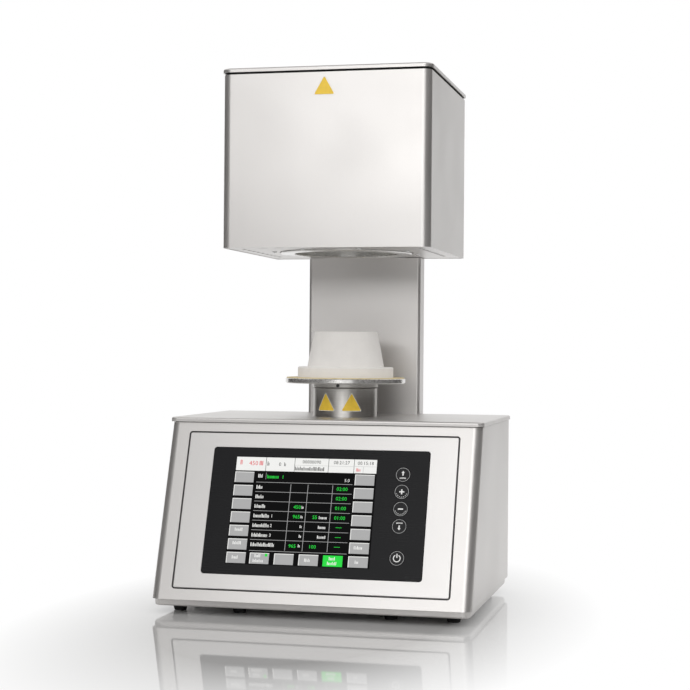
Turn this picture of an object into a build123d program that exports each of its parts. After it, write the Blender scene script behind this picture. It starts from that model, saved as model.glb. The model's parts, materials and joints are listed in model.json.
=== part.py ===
from build123d import *
import math
import os

# Dental laboratory furnace with a lift table.
# Millimetres. +Z is up, +Y is towards the rear, +X is to the right of someone facing the front.
# The origin is on the surface that the feet stand on, under the middle of the whole furnace.

# ---- driving sizes: base cabinet -------------------------------------------------------------
BASE_W = 380.0            # across the outer faces of the side panels
BASE_BEHIND = 20.0        # rear panel behind the column's face
NOZZLE_REACH = 20.0       # how far the vacuum nozzle stands out of the rear panel
FOOT_H = 8.8              # underside of the cabinet above the table
SHEET_LOW_Z = 17.1        # lower edge of the outer sheets
BODY_TOP_Z = 221.0        # upper edge of the outer sheets
PANEL_LEAN = 19.48        # degrees that the front leans back from upright
FASCIA_CORNER_R = 10.5    # bend between the front and its side returns
FASCIA_RETURN = 3.0       # straight part of each side return
FASCIA_SHEET = 2.0
SHEET = 1.5
SIDE_SHEET = 2.0
LID_RISE = 6.1            # top of the base lid above the upper edge of the sheets
LID_RIM = 5.3             # height of the lid's turned-down rim
LID_OVERHANG = 2.0
LID_CORNER_R = 9.0
LID_REAR_R = 4.0
LID_EDGE_R = 2.4
SIDE_FLANGE = 12.0        # folded flanges of the side sheets
LAP_W = 8.0               # strip of the side sheet behind the fascia's return
LAP_END = 3.0             # strip and rear flange end this far above the pan
LAP_PLAY = 0.2            # between sheets that lie edge to edge
SEAL_INSET = 3.0          # foam frame inside the side sheets
SEAL_FRONT = 7.0          # foam frame behind the upper front edge
SEAL_W = 8.0

# ---- driving sizes: base pan and feet --------------------------------------------------------
PAN_H = 12.0
PAN_INSET = 4.2           # front wall of the pan behind the toe
PAN_CORNER_R = 9.0
PAN_BEND_R = 2.5
FOOT_TOP_R = 9.2
FOOT_LOW_R = 7.2
FOOT_CORNER_X = 164.5
FOOT_INNER_X = 91.0
FOOT_FRONT_SETBACK = 36.0     # from the toe
FOOT_REAR_SETBACK = 28.0      # from the rear panel
PAN_SLOT_PITCH = 20.0
PAN_SLOT_L = 9.0
PAN_SLOT_W = 3.0
PAN_SLOT_SETBACK = 21.0
FLOOR_SLOT_L = 60.0
FLOOR_SLOT_W = 4.0
FLOOR_SLOT_PITCH = 14.0
FLOOR_SLOT_ROWS = 6
FLOOR_SLOT_EDGE = 60.0    # their middle, from the outer face of the side
FLOOR_SLOT_START = 90.0   # first row in front of the lift axis

# ---- driving sizes: control panel, measured up the slope from the toe ------------------------
WINDOW_W = 331.0
WINDOW_LOW = 12.7
WINDOW_H = 192.7
WINDOW_R = 4.0
PLATE_GAP = 1.6           # shadow gap round the control plate
PLATE_PROUD = 0.4
PLATE_EDGE_R = 1.0
BEZEL_W = 263.0
BEZEL_LOW = 32.3
BEZEL_H = 153.7
BEZEL_R = 3.5
BEZEL_PROUD = 1.0
BEZEL_EDGE = 0.5
BEZEL_LEDGE = 5.0         # how far the carrier reaches in behind the bezel's edge
SCREEN_W = 172.5
SCREEN_H = 130.3
SCREEN_X = -16.75
SCREEN_MID = 109.85
SCREEN_SUNK = 0.7         # glass below the bezel's face
GLASS_R = 0.8
GLASS_PLAY = 0.2
MODULE_RIM = 4.0          # metal frame of the display module beside its glass
MODULE_RIM_END = 3.5      # above and below it
MODULE_DEPTH = 6.0
KEY_D = 17.5
KEY_X = 100.8
KEY_PITCH = 20.5
KEY_DOWN_S = 95.8
KEY_POWER_S = 58.4
KEY_TRAVEL = 0.55
KEY_FLANGE = 1.1          # how far the key's flange reaches past its cap
KEY_FLANGE_T = 0.8
KEY_SUNK = 0.1            # key's face below the bezel's
KEY_EDGE = 0.3
KEY_FOOT_R = 3.0
KEY_FOOT_L = 2.0          # from the flange's front to the end of the foot
DOME_R = 4.0
DOME_GAP = 0.05           # left under the key's foot when it is pressed
KEY_BOARD_W = 25.0
KEY_BOARD_T = 1.6
KEY_BOARD_DEPTH = 5.0     # its front behind the bezel's back
KEY_BOARD_MARGIN = 2.0    # board past the outermost keys
CARRIER_W = 352.0
CARRIER_H = 204.0
CARRIER_SHEET = 2.0
CARRIER_R = 6.0
HOUSING_DEPTH = 12.0
HOUSING_R = 4.0
RELIEF_INSET = 10.0       # hollow in the housing's back, inside the screen's outline
RELIEF_DEPTH = 4.0

# ---- driving sizes: lift and table -----------------------------------------------------------
LIFT_SETBACK = 184.5      # lift axis behind the toe
COLLAR_R = 40.0
COLLAR_H = 35.9           # above the base lid
COLLAR_WALL = 3.0
HUB_GAP = 0.6             # shadow gap between the collar and the table hub
HUB_STEP = 1.0            # hub past the collar
HUB_H = 5.0
HUB_EDGE = 0.6
HUB_SCREW_R = 2.0
HUB_SCREW_L = 9.2
HUB_SCREW_PROUD = 1.2
TABLE_H = 6.1
TABLE_LIP = 1.2           # plate outside the gasket
TABLE_EDGE_R = 1.2
GASKET_GAP = 2.1          # between the plug's flange and the gasket
GASKET_W = 12.0
GASKET_H = 2.6
GASKET_PROUD = 1.3
GASKET_EDGE = 0.5
GROOVE_PLAY = 0.1
PLUG_FLANGE_R = 59.9
PLUG_FLANGE_H = 14.4
PLUG_CONE_LOW_R = 48.1
PLUG_CONE_TOP_R = 39.8
PLUG_CONE_H = 44.0
PLUG_EDGE_R = 2.0
PLUG_PIN_R = 4.0          # pin on the table plate that centres the plug
PLUG_PIN_H = 8.0
PLUG_PIN_END = 1.0        # room over the end of the pin
TUBE_R = 17.5
TUBE_WALL = 2.5
TUBE_SEAT = 5.0           # tube's lower end above the carriage's underside
LIP_W = 6.5               # collar bush between the tube and the collar's lip
LIP_T = 4.0
COLLAR_FOOT = 10.0        # width of the flange that the collar stands on
COLLAR_EDGE = 0.8
COLLAR_BUSH_H = 18.0
BUSH_SUNK = 0.4           # bush below the collar's top
SCREW_R = 6.0
SCREW_LEAD = 10.0         # lift per turn of the lead screw
SCREW_SPARE = 6.0         # screw above the carriage when the table is up
SCREW_CHAMFER = 1.5
JOURNAL_R = 5.0
BEARING_R = 13.0
BEARING_FLANGE_R = 16.0
BEARING_FLANGE_T = 1.5
NUT_R = 9.0
NUT_FLANGE_R = 14.0
NUT_FLANGE_T = 3.0
GUIDE_ROD_R = 5.0
GUIDE_ROD_X = 46.0
BUSH_WALL = 3.0
BUSH_PROUD = 1.0
CARRIAGE_GAP = 5.0        # carriage at rest above the bridge
CARRIAGE_H = 12.0
CARRIAGE_DEPTH = 30.0
CARRIAGE_HUB_W = 6.5      # hub wall round the tube
CARRIAGE_END = 14.0       # carriage past the middle of a guide rod
CARRIAGE_EDGE_R = 3.0
TOP_PLATE_DROP = 17.6     # top plate's underside below the upper edge of the sheets
TOP_PLATE_T = 6.0
TOP_PLATE_END = 16.0      # plate past the middle of a guide rod
TOP_PLATE_FRONT = 46.0    # its front edge in front of the lift axis
TUBE_PLAY = 1.0
APRON_W = 100.0
APRON_H = 34.0
APRON_T = 5.0
RIB_SIZE = 28.0
RIB_T = 4.0
RIB_X = 40.0
BELT_SPACE = 3.2          # between the pulleys and the bridge
BRIDGE_T = 5.0
BRIDGE_DEPTH = 60.0
BRIDGE_END = 16.0         # bridge past the middle of the left guide rod
BRIDGE_MOTOR_END = 8.0    # bridge past the motor
BRIDGE_FOOT = 12.0
BRIDGE_LEG_T = 4.0
SCREW_FLOOR_GAP = 1.7
PULLEY_FLOOR_GAP = 2.3
PULLEY_R = 14.0
PULLEY_RIM = 2.0
PULLEY_RIM_T = 1.2
BELT_T = 1.8
BELT_W = 7.0
BELT_PLAY = 0.4           # above and below the belt between the rims
MOTOR_X = 85.0
MOTOR_R = 20.0
MOTOR_H = 62.0
MOTOR_GEAR_H = 24.0
MOTOR_SPIGOT_R = 11.0
MOTOR_SHAFT_R = 3.0
MOTOR_SHAFT_L = 14.0      # shaft inside the motor

# ---- driving sizes: column -------------------------------------------------------------------
COLUMN_W = 149.8
COLUMN_GAP = 4.3          # column face behind the chamber's flange
COLUMN_DEPTH = 28.9       # column face to the rear of the head
COLUMN_CORNER_R = 4.0
COLUMN_END = 0.2          # column sheets end this far below the head
COLUMN_PLAY = 1.4         # between the column's sheet and the post
NOTCH_PLAY = 0.4          # lid round the column
POST_PLAY = 1.0           # lid and head floor in front of the post
POST_W = 112.0
POST_SHEET = 2.5
POST_BEND = 1.0
POST_FOOT = 18.0
POST_FOOT_T = 3.0
POST_FLANGE = 12.9
POST_IN_HEAD = 128.2      # height of the post inside the head
SPINE_FOOT_Z = 30.0
SPINE_BEND = 2.5

# ---- driving sizes: head ---------------------------------------------------------------------
HEAD_W = 254.7
HEAD_FRONT_GAP = 19.9     # head face in front of the chamber's flange
HEAD_LOW_Z = 431.8
HEAD_H = 208.5
HEAD_CORNER_R = 10.0
HEAD_FLANGE = 10.0
HEAD_SEAL_H = 2.5
HEAD_LID_H = 5.0
HEAD_LID_OVERHANG = 1.6
HEAD_LID_EDGE_R = 2.0
HEAD_FLOOR_UP = 0.5       # floor tray above the shell's lower edge
FLOOR_SHEET = 2.0
FLOOR_RIM = 10.0
RING_PLAY = 1.5           # between the sealing ring and the floor's opening
FLOOR_TAB_H = 46.0
FLOOR_TAB_T = 2.5
HEAD_SLOT_PITCH = 20.0
HEAD_SLOT_L = 12.0
HEAD_SLOT_W = 4.0
HEAD_SLOT_SIDE = 16.0     # slots from the floor's side edge
HEAD_SLOT_ROWS = 9
FRONT_SLOT_PITCH = 20.0
FRONT_SLOT_L = 12.0
FRONT_SLOT_W = 4.0
FRONT_SLOT_BACK = 16.0    # slots from the floor's front edge
FRONT_SLOTS = 9
REAR_SLOT_L = 76.0
REAR_SLOT_W = 4.5
REAR_SLOT_X = 58.0
REAR_SLOT_PITCH = 13.0
REAR_SLOT_ROWS = 8
REAR_SLOT_LOW = 70.0      # lowest slot above the head's lower edge
LID_SLOT_L = 62.0
LID_SLOT_W = 4.0
LID_SLOT_X = 52.0
LID_SLOT_PITCH = 12.0
LID_SLOT_ROWS = 7
LID_SLOT_REAR = 34.0      # rearmost slot in front of the head's rear
HEAD_SEAL_INSET = 2.5
HEAD_SEAL_W = 6.0

# ---- driving sizes: firing chamber -----------------------------------------------------------
RING_GAP = 5.1            # between the plug's flange and the sealing ring
RING_W = 17.5
RING_DROP = 1.8           # polished ring below the head's lower edge
RING_EDGE = 1.0
FLANGE_LAP = 15.5         # flange on the head's floor past the ring
FLANGE_T = 6.0
BELL_RIM = 6.0
BELL_RIM_T = 4.0
BELL_WALL = 2.5
BELL_BEND = 8.0
BELL_GAP = 2.8            # between the lining's ceiling and the bell
STUB_L = 8.0
STUB_UP = 30.0            # suction stub above the flange
MUFFLE_GAP = 1.9          # between the cone's foot and the muffle
MUFFLE_WALL = 6.7
MUFFLE_H = 107.0
MUFFLE_RIBS = 9
RIB_DEPTH = 1.5
MOUTH_GAP = 1.0
PLUG_UP_GAP = 1.2         # between the plug's flange and the lining when the table is up
MOUTH_H = 12.0            # height of the insulation's mouth below the muffle
CEILING_H = 32.0
LINING_BEVEL = 9.0
SENSOR_R = 2.5
SENSOR_REACH = 14.0       # sensor's tip below the chamber's ceiling
SENSOR_HEAD_R = 9.0
SENSOR_HEAD_H = 12.0
LEAD_R = 2.0
LEAD_H = 22.0
BEAD_R = 6.0
BEAD_H = 9.0

# ---- driving sizes: rear services ------------------------------------------------------------
FAN_SIZE = 80.0
FAN_DEPTH = 25.0
FAN_X = -132.0
FAN_Z = 120.0
FAN_CORNER_R = 4.0
FAN_WALL = 1.5
FAN_HUB_R = 17.0
FAN_HUB_L = 17.0
FAN_SEAT_T = 4.0
FAN_SPOKES = 4
FAN_SHAFT_R = 2.0
FAN_BLADES = 7
FAN_TIP_GAP = 1.2
BLADE_ROOT_W = 15.0
BLADE_ROOT_T = 1.8
BLADE_ROOT_TURN = 50.0    # degrees from the fan's plane of rotation
BLADE_TIP_W = 20.0
BLADE_TIP_T = 1.2
BLADE_TIP_TURN = 66.0
GRILLE_RINGS = 4
GRILLE_PITCH = 7.5
GRILLE_SLOT = 4.6
GRILLE_EDGE = 4.5         # middle of the outer slot inside the fan's size
GRILLE_ARM = 3.2
INLET_X = 148.0
INLET_Z = 66.0
INLET_W = 31.0
INLET_H = 64.0
INLET_LAP = 2.0           # flange past the body that goes through the sheet
INLET_FLANGE_T = 3.0
INLET_EDGE = 0.8
INLET_DEPTH = 28.0
INLET_LOW = 18.0          # middle of the inlet below the middle of the module
INLET_WELL = 16.0
BLADE_THICK = 2.0
BLADE_WIDE = 4.0
BLADE_SUNK = 5.5          # tips of the inlet's blades below the module's face
ROCKER_UP = 18.5          # pivot of the rocker above the middle of the module
ROCKER_SUNK = 2.5
ROCKER_W = 17.8
ROCKER_REACH = 8.6        # from the pivot to the end of either half
ROCKER_RISE = 3.0
ROCKER_DEPTH = 6.4
ROCKER_PIN_R = 1.5
ROCKER_PIN_L = 20.0
ROCKER_WELL = 20.6
ROCKER_WELL_DEPTH = 10.0
ROCKER_SWING = 16.0       # degrees between off and on
DRAWER_W = 22.0
DRAWER_LINES = (-3.5, 5.5)    # joints of the fuse drawer from the middle of the module
DRAWER_LINE_W = 0.8
DRAWER_LINE_DEPTH = 0.6
SOCKET_X = 103.0
SOCKET_Z = 66.0
SOCKET_W = 34.0
SOCKET_H = 30.0
SOCKET_LAP = 3.0
SOCKET_FLANGE_T = 2.5
SOCKET_DEPTH = 24.0
SOCKET_R = 2.0
SOCKET_SLOT_W = 2.4
SOCKET_SLOT_H = 6.8
SOCKET_SLOT_DEPTH = 14.0
VALVE_X = 110.0
VALVE_Z = 150.0
VALVE_SIZE = 30.0
VALVE_H = 23.0
VALVE_DEPTH = 26.0
VALVE_EDGE_R = 3.0
VALVE_NECK_R = 7.0
VALVE_STUB_L = 6.0
VALVE_BORE_R = 2.0
COIL_R = 11.0
COIL_H = 28.0
COIL_SETBACK = 14.0
NUT_SIZE = 10.0           # from the middle of the panel nut to its corners
NUT_T = 4.0
SPIGOT_R = 5.0
HOSE_R = 5.0
HOSE_BORE_R = 3.0
HOSE_BEND_R = 11.0
HOSE_PLAY = 1.0

# ---- driving sizes: electrics on the cabinet floor -------------------------------------------
BOARD_T = 1.6
BOARD_UP = 10.0
BOARD_SIDE = 16.0         # from the outer face of the side
BOARD_LIFT_GAP = 34.0     # from the middle of the left guide rod
BOARD_FRONT = 80.0        # in front of the lift axis
BOARD_REAR = 60.0         # behind it
SPACER_R = 3.0
SPACER_EDGE = 6.0
RELAY_W = 20.0
RELAY_L = 26.0
RELAY_H = 15.4
RELAY_PITCH = 30.0
RELAYS = 3
CAPACITOR_R = 10.0
CAPACITOR_H = 26.4
CAPACITOR_PITCH = 34.0
CAPACITORS = 2
CORE_X = 62.0             # middle of the ring transformer from the outer face of the side
CORE_FRONT = 92.0         # in front of the lift axis
CORE_R = 48.0
CORE_HOLE_R = 20.0
CORE_H = 46.0
CORE_ROUND = 5.0
DISH_R = 13.0
DISH_H = 30.0
BOLT_R = 4.0
BOLT_H = 50.0

# ---- clearances ------------------------------------------------------------------------------
SEAT = 0.3                # between pieces that sit side by side
RUN = 0.06                # radial, a shaft in its bearing
PIN_PLAY = 0.3            # radial, a fixed pin through a lining or a sheet
SEAM = 0.5                # between the fascia's return and the side panel
CLOSE_GAP = 0.3           # between gasket and ring when the table is up
CUT = 20.0                # how far a cutting tool reaches past what it cuts

# ---- places worked out from the sizes above --------------------------------------------------
GASKET_IN_R = PLUG_FLANGE_R + GASKET_GAP
GASKET_OUT_R = GASKET_IN_R + GASKET_W
TABLE_R = GASKET_OUT_R + TABLE_LIP
RING_IN_R = PLUG_FLANGE_R + RING_GAP
RING_OUT_R = RING_IN_R + RING_W
FLANGE_R = RING_OUT_R + FLANGE_LAP
BELL_R = FLANGE_R - BELL_RIM
BELL_IN_R = BELL_R - BELL_WALL
MUFFLE_IN_R = PLUG_CONE_LOW_R + MUFFLE_GAP
MUFFLE_OUT_R = MUFFLE_IN_R + MUFFLE_WALL
HUB_R = COLLAR_R + HUB_STEP
LIP_R = TUBE_R + LIP_W
COLLAR_FOOT_R = COLLAR_R - COLLAR_FOOT
BUSH_R = GUIDE_ROD_R + BUSH_WALL

COLUMN_SETBACK = FLANGE_R + COLUMN_GAP
HEAD_REACH = FLANGE_R + HEAD_FRONT_GAP
HEAD_DEPTH = HEAD_REACH + COLUMN_SETBACK + COLUMN_DEPTH
BASE_DEPTH = LIFT_SETBACK + COLUMN_SETBACK + BASE_BEHIND
OVERALL_DEPTH = BASE_DEPTH + NOZZLE_REACH
FRONT_Y = -OVERALL_DEPTH / 2
REAR_Y = FRONT_Y + BASE_DEPTH
LIFT_Y = FRONT_Y + LIFT_SETBACK
PAN_TOP_Z = FOOT_H + PAN_H
WINDOW_MID = WINDOW_LOW + WINDOW_H / 2
BEZEL_MID = BEZEL_LOW + BEZEL_H / 2
MODULE_W = SCREEN_W + 2 * MODULE_RIM
MODULE_H = SCREEN_H + 2 * MODULE_RIM_END
KEY_R = KEY_D / 2
KEY_BACK = -FASCIA_SHEET - LAP_PLAY / 2
INLET_BODY_W = INLET_W - 2 * INLET_LAP
INLET_BODY_H = INLET_H - 2 * INLET_LAP
SOCKET_BODY_W = SOCKET_W - 2 * SOCKET_LAP
SOCKET_BODY_H = SOCKET_H - 2 * SOCKET_LAP
LEAN_TAN = math.tan(math.radians(PANEL_LEAN))
LEAN_COS = math.cos(math.radians(PANEL_LEAN))
LEAN_SIN = math.sin(math.radians(PANEL_LEAN))
SLOPE_L = (BODY_TOP_Z - SHEET_LOW_Z) / LEAN_COS
BODY_TOP_FRONT_Y = FRONT_Y + (BODY_TOP_Z - SHEET_LOW_Z) * LEAN_TAN
HALF_W = BASE_W / 2
LID_TOP_Z = BODY_TOP_Z + LID_RISE
LID_LOW_Z = LID_TOP_Z - LID_RIM
PAN_FLOOR_Z = FOOT_H + SHEET
FASCIA_DEEP = FASCIA_CORNER_R + FASCIA_RETURN

COLLAR_TOP_Z = LID_TOP_Z + COLLAR_H
HUB_Z = COLLAR_TOP_Z + HUB_GAP
TABLE_Z = HUB_Z + HUB_H
TABLE_TOP_Z = TABLE_Z + TABLE_H
GASKET_TOP_Z = TABLE_TOP_Z + GASKET_PROUD
PLUG_TOP_Z = TABLE_TOP_Z + PLUG_FLANGE_H + PLUG_CONE_H
RING_LOW_Z = HEAD_LOW_Z - RING_DROP
LIFT_TRAVEL = RING_LOW_Z - GASKET_TOP_Z - CLOSE_GAP
PULLEY_Z = PAN_FLOOR_Z + PULLEY_FLOOR_GAP
BELT_Z = PULLEY_Z + PULLEY_RIM_T + BELT_PLAY
PULLEY_TOP_Z = BELT_Z + BELT_W + BELT_PLAY + PULLEY_RIM_T
BRIDGE_Z = PULLEY_TOP_Z + BELT_SPACE
BRIDGE_TOP_Z = BRIDGE_Z + BRIDGE_T
CARRIAGE_LOW_Z = BRIDGE_TOP_Z + CARRIAGE_GAP
CARRIAGE_TOP_Z = CARRIAGE_LOW_Z + CARRIAGE_H
TUBE_LOW_Z = CARRIAGE_LOW_Z + TUBE_SEAT
TOP_PLATE_Z = BODY_TOP_Z - TOP_PLATE_DROP
TOP_PLATE_TOP_Z = TOP_PLATE_Z + TOP_PLATE_T

HEAD_FRONT_Y = LIFT_Y - HEAD_REACH
HEAD_REAR_Y = HEAD_FRONT_Y + HEAD_DEPTH
HEAD_TOP_Z = HEAD_LOW_Z + HEAD_H
HEAD_LID_Z = HEAD_TOP_Z + HEAD_SEAL_H
COLUMN_FRONT_Y = LIFT_Y + COLUMN_SETBACK
POST_FRONT_Y = COLUMN_FRONT_Y + SHEET + COLUMN_PLAY
POST_BACK_Y = POST_FRONT_Y + POST_FLANGE
POST_TOP_Z = HEAD_LOW_Z + POST_IN_HEAD
HEAD_FLOOR_Z = HEAD_LOW_Z + HEAD_FLOOR_UP
HEAD_FLOOR_TOP_Z = HEAD_FLOOR_Z + FLOOR_SHEET
FLANGE_TOP_Z = HEAD_FLOOR_TOP_Z + FLANGE_T
PLUG_UP_FLANGE_Z = TABLE_TOP_Z + PLUG_FLANGE_H + LIFT_TRAVEL
MOUTH_Z = PLUG_UP_FLANGE_Z + PLUG_UP_GAP
MUFFLE_Z = MOUTH_Z + MOUTH_H
MUFFLE_TOP_Z = MUFFLE_Z + MUFFLE_H
CEILING_TOP_Z = MUFFLE_TOP_Z + CEILING_H
BELL_TOP_Z = CEILING_TOP_Z + BELL_GAP + BELL_WALL

# The face plane of the leaning front: X across, Y up the slope, Z out of the cabinet.
FACE = Plane(origin=(0, FRONT_Y, SHEET_LOW_Z), x_dir=(1, 0, 0), z_dir=(0, -LEAN_COS, LEAN_SIN))
# The same place looking up the slope: X across, Y into the cabinet, Z up the slope.
SLOPE = Plane(origin=(0, FRONT_Y, SHEET_LOW_Z), x_dir=(1, 0, 0), z_dir=(0, LEAN_SIN, LEAN_COS))


# ---- shapes used more than once --------------------------------------------------------------
def block(x0, x1, y0, y1, z0, z1):
    """Box between two corners."""
    return Pos((x0 + x1) / 2, (y0 + y1) / 2, (z0 + z1) / 2) * Box(x1 - x0, y1 - y0, z1 - z0)


def turned(profile, x=0.0, y=0.0):
    """Solid turned about an upright axis at x, y from (radius, height) points."""
    face = make_face(Plane.XZ * Polyline(*profile, close=True))
    return Pos(x, y, 0) * revolve(face, Axis.Z)


def rod(x, y, z0, z1, radius):
    """Upright round bar."""
    return Pos(x, y, (z0 + z1) / 2) * Cylinder(radius, z1 - z0)


def ring(x, y, z0, z1, outer, inner):
    """Upright round bush."""
    return rod(x, y, z0, z1, outer) - rod(x, y, z0, z1, inner)


def along_y(x, z, y0, y1, radius):
    """Round bar that lies front to back."""
    return Pos(x, (y0 + y1) / 2, z) * Rot(90, 0, 0) * Cylinder(radius, y1 - y0)


def rounded(width, height, radius):
    """Rectangle with rounded corners, or sharp ones where the radius is nothing."""
    return RectangleRounded(width, height, radius) if radius > 0.05 else Rectangle(width, height)


def u_sheet(width, depth, radius, sheet):
    """Section of a folded U: front on the X axis, legs towards +Y, both corners bent."""
    middle = Pos(0, depth)
    outline = middle * rounded(width, 2 * depth, radius)
    hollow = middle * rounded(width - 2 * sheet, 2 * (depth - sheet), radius - sheet)
    return (outline - hollow) & (Pos(0, depth / 2) * Rectangle(width, depth))


def tray(x, y, width, depth, z0, height, corner, sheet, edge=0.0):
    """Open-topped tray of folded sheet; edge rounds its lower outside bend."""
    plan = Pos(x, y, z0) * RectangleRounded(width, depth, corner)
    shape = extrude(plan, height)
    if edge:
        shape = fillet(shape.faces().sort_by(Axis.Z)[0].edges(), edge)
    hollow = Pos(x, y, z0 + sheet) * RectangleRounded(width - 2 * sheet, depth - 2 * sheet, corner - sheet)
    return shape - extrude(hollow, height)


def lid_plan(width, depth, front_r, rear_r):
    """Outline of a lid whose front corners are rounder than its rear ones."""
    plan = Rectangle(width, depth)
    plan = fillet(plan.vertices().group_by(Axis.Y)[0], front_r)
    return fillet(plan.vertices().group_by(Axis.Y)[-1], rear_r)


def cover(y, width, depth, z0, height, front_r, rear_r, sheet, edge):
    """Lid of folded sheet, open below; edge rounds its upper outside bend."""
    shape = extrude(Pos(0, y, z0) * lid_plan(width, depth, front_r, rear_r), height)
    shape = fillet(shape.faces().sort_by(Axis.Z)[-1].edges(), edge)
    hollow = lid_plan(width - 2 * sheet, depth - 2 * sheet, front_r - sheet, rear_r - sheet)
    return shape - extrude(Pos(0, y, z0) * hollow, height - sheet)


def on_face(x, s, out):
    """Place on the leaning front: x across, s up the slope, out from its surface."""
    return FACE.location * Pos(x, s, out)


def face_slab(x, s, width, height, corner, out_low, out_high):
    """Flat piece with rounded corners that lies in the leaning front."""
    return on_face(x, s, out_low) * extrude(rounded(width, height, corner), out_high - out_low)


# ---- base cabinet ----------------------------------------------------------------------------
def foot_places():
    """Centres of the six feet: four in a row at the front, two at the rear."""
    front = FRONT_Y + FOOT_FRONT_SETBACK
    rear = REAR_Y - FOOT_REAR_SETBACK
    row = [(x, front) for x in (-FOOT_CORNER_X, -FOOT_INNER_X, FOOT_INNER_X, FOOT_CORNER_X)]
    return row + [(-FOOT_CORNER_X, rear), (FOOT_CORNER_X, rear)]


def feet():
    """Tapered rubber feet, narrower where they stand."""
    profile = [(0, 0), (FOOT_LOW_R, 0), (FOOT_TOP_R, FOOT_H), (0, FOOT_H)]
    return Compound(children=[turned(profile, x, y) for x, y in foot_places()])


def base_pan():
    """Floor tray of the cabinet with a row of small slots at the front and cooling slots behind."""
    half = HALF_W - SIDE_SHEET - SEAT
    y0 = FRONT_Y + PAN_INSET
    y1 = REAR_Y - SIDE_SHEET - SEAT
    pan = tray(0, (y0 + y1) / 2, 2 * half, y1 - y0, FOOT_H, PAN_H, PAN_CORNER_R, SHEET, PAN_BEND_R)
    slots = []
    reach = int(FOOT_CORNER_X / PAN_SLOT_PITCH) - 1
    for step in range(-reach, reach + 1):
        place = Pos(step * PAN_SLOT_PITCH, FRONT_Y + PAN_SLOT_SETBACK, FOOT_H)
        slots.append(place * Box(PAN_SLOT_L, PAN_SLOT_W, 4 * SHEET))
    for row in range(FLOOR_SLOT_ROWS):
        y = LIFT_Y - FLOOR_SLOT_START + FLOOR_SLOT_PITCH * row
        for side in (-1, 1):
            place = Pos(side * (HALF_W - FLOOR_SLOT_EDGE), y, FOOT_H)
            slots.append(place * Box(FLOOR_SLOT_L, FLOOR_SLOT_W, 4 * SHEET))
    return pan - slots


def fascia():
    """Leaning front sheet, bent round both sides, with the window for the control plate."""
    section = SLOPE.location * u_sheet(BASE_W, FASCIA_DEEP, FASCIA_CORNER_R, FASCIA_SHEET)
    margin = FASCIA_DEEP
    section = Pos(0, -margin * LEAN_SIN, -margin * LEAN_COS) * section
    front = extrude(section, SLOPE_L + 2 * margin, dir=(0, LEAN_SIN, LEAN_COS))
    front = front & block(-HALF_W, HALF_W, FRONT_Y - CUT, LIFT_Y, SHEET_LOW_Z, BODY_TOP_Z)
    return front - face_slab(0, WINDOW_MID, WINDOW_W, WINDOW_H, WINDOW_R, -CUT, CUT)


def control_plate():
    """Brushed plate laid into the fascia's window, with rounded edges and the bezel's cut-out."""
    width = WINDOW_W - 2 * PLATE_GAP
    height = WINDOW_H - 2 * PLATE_GAP
    plan = extrude(RectangleRounded(width, height, WINDOW_R - PLATE_GAP), FASCIA_SHEET + PLATE_PROUD)
    plan = fillet(plan.faces().sort_by(Axis.Z)[-1].edges(), PLATE_EDGE_R)
    plate = on_face(0, WINDOW_MID, -FASCIA_SHEET) * plan
    return plate - face_slab(0, BEZEL_MID, BEZEL_W + 2 * SEAT, BEZEL_H + 2 * SEAT, BEZEL_R + SEAT, -CUT, CUT)


def display_bezel():
    """Black front frame that holds the glass and the five keys."""
    plan = extrude(RectangleRounded(BEZEL_W, BEZEL_H, BEZEL_R), FASCIA_SHEET + BEZEL_PROUD)
    plan = chamfer(plan.faces().sort_by(Axis.Z)[-1].edges(), BEZEL_EDGE)
    bezel = on_face(0, BEZEL_MID, -FASCIA_SHEET) * plan
    glass = face_slab(SCREEN_X, SCREEN_MID, SCREEN_W, SCREEN_H, GLASS_R, -CUT, CUT)
    holes = [on_face(KEY_X, s, 0) * Cylinder(KEY_R + SEAT, 2 * CUT) for s in key_places().values()]
    return bezel - glass - holes


def touch_screen():
    """Display module: glass pane in the bezel with its metal frame behind."""
    pane = face_slab(SCREEN_X, SCREEN_MID, SCREEN_W - 2 * GLASS_PLAY, SCREEN_H - 2 * GLASS_PLAY, GLASS_R,
                     -FASCIA_SHEET - MODULE_DEPTH / 2, BEZEL_PROUD - SCREEN_SUNK)
    frame = face_slab(SCREEN_X, SCREEN_MID, MODULE_W, MODULE_H, 0,
                      -FASCIA_SHEET - MODULE_DEPTH, -FASCIA_SHEET)
    return pane + frame


def key_places():
    """Heights of the keys up the slope, by node name."""
    return {
        "key_up": KEY_DOWN_S + 3 * KEY_PITCH,
        "key_plus": KEY_DOWN_S + 2 * KEY_PITCH,
        "key_minus": KEY_DOWN_S + KEY_PITCH,
        "key_down": KEY_DOWN_S,
        "key_power": KEY_POWER_S,
    }


def key_board_span():
    """Lower and upper end of the key board, up the slope."""
    places = key_places().values()
    return min(places) - KEY_R - KEY_BOARD_MARGIN, max(places) + KEY_R + KEY_BOARD_MARGIN


def key(s):
    """Round key cap with the flange that keeps it behind the bezel and its foot on the switch."""
    top = BEZEL_PROUD - KEY_SUNK
    flange_r = KEY_R + KEY_FLANGE
    behind = KEY_BACK - KEY_FLANGE_T
    foot = KEY_BACK - KEY_FOOT_L
    profile = [(0, foot), (KEY_FOOT_R, foot), (KEY_FOOT_R, behind), (flange_r, behind), (flange_r, KEY_BACK),
               (KEY_R, KEY_BACK), (KEY_R, top - KEY_EDGE), (KEY_R - KEY_EDGE, top), (0, top)]
    return on_face(KEY_X, s, 0) * turned(profile)


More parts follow.
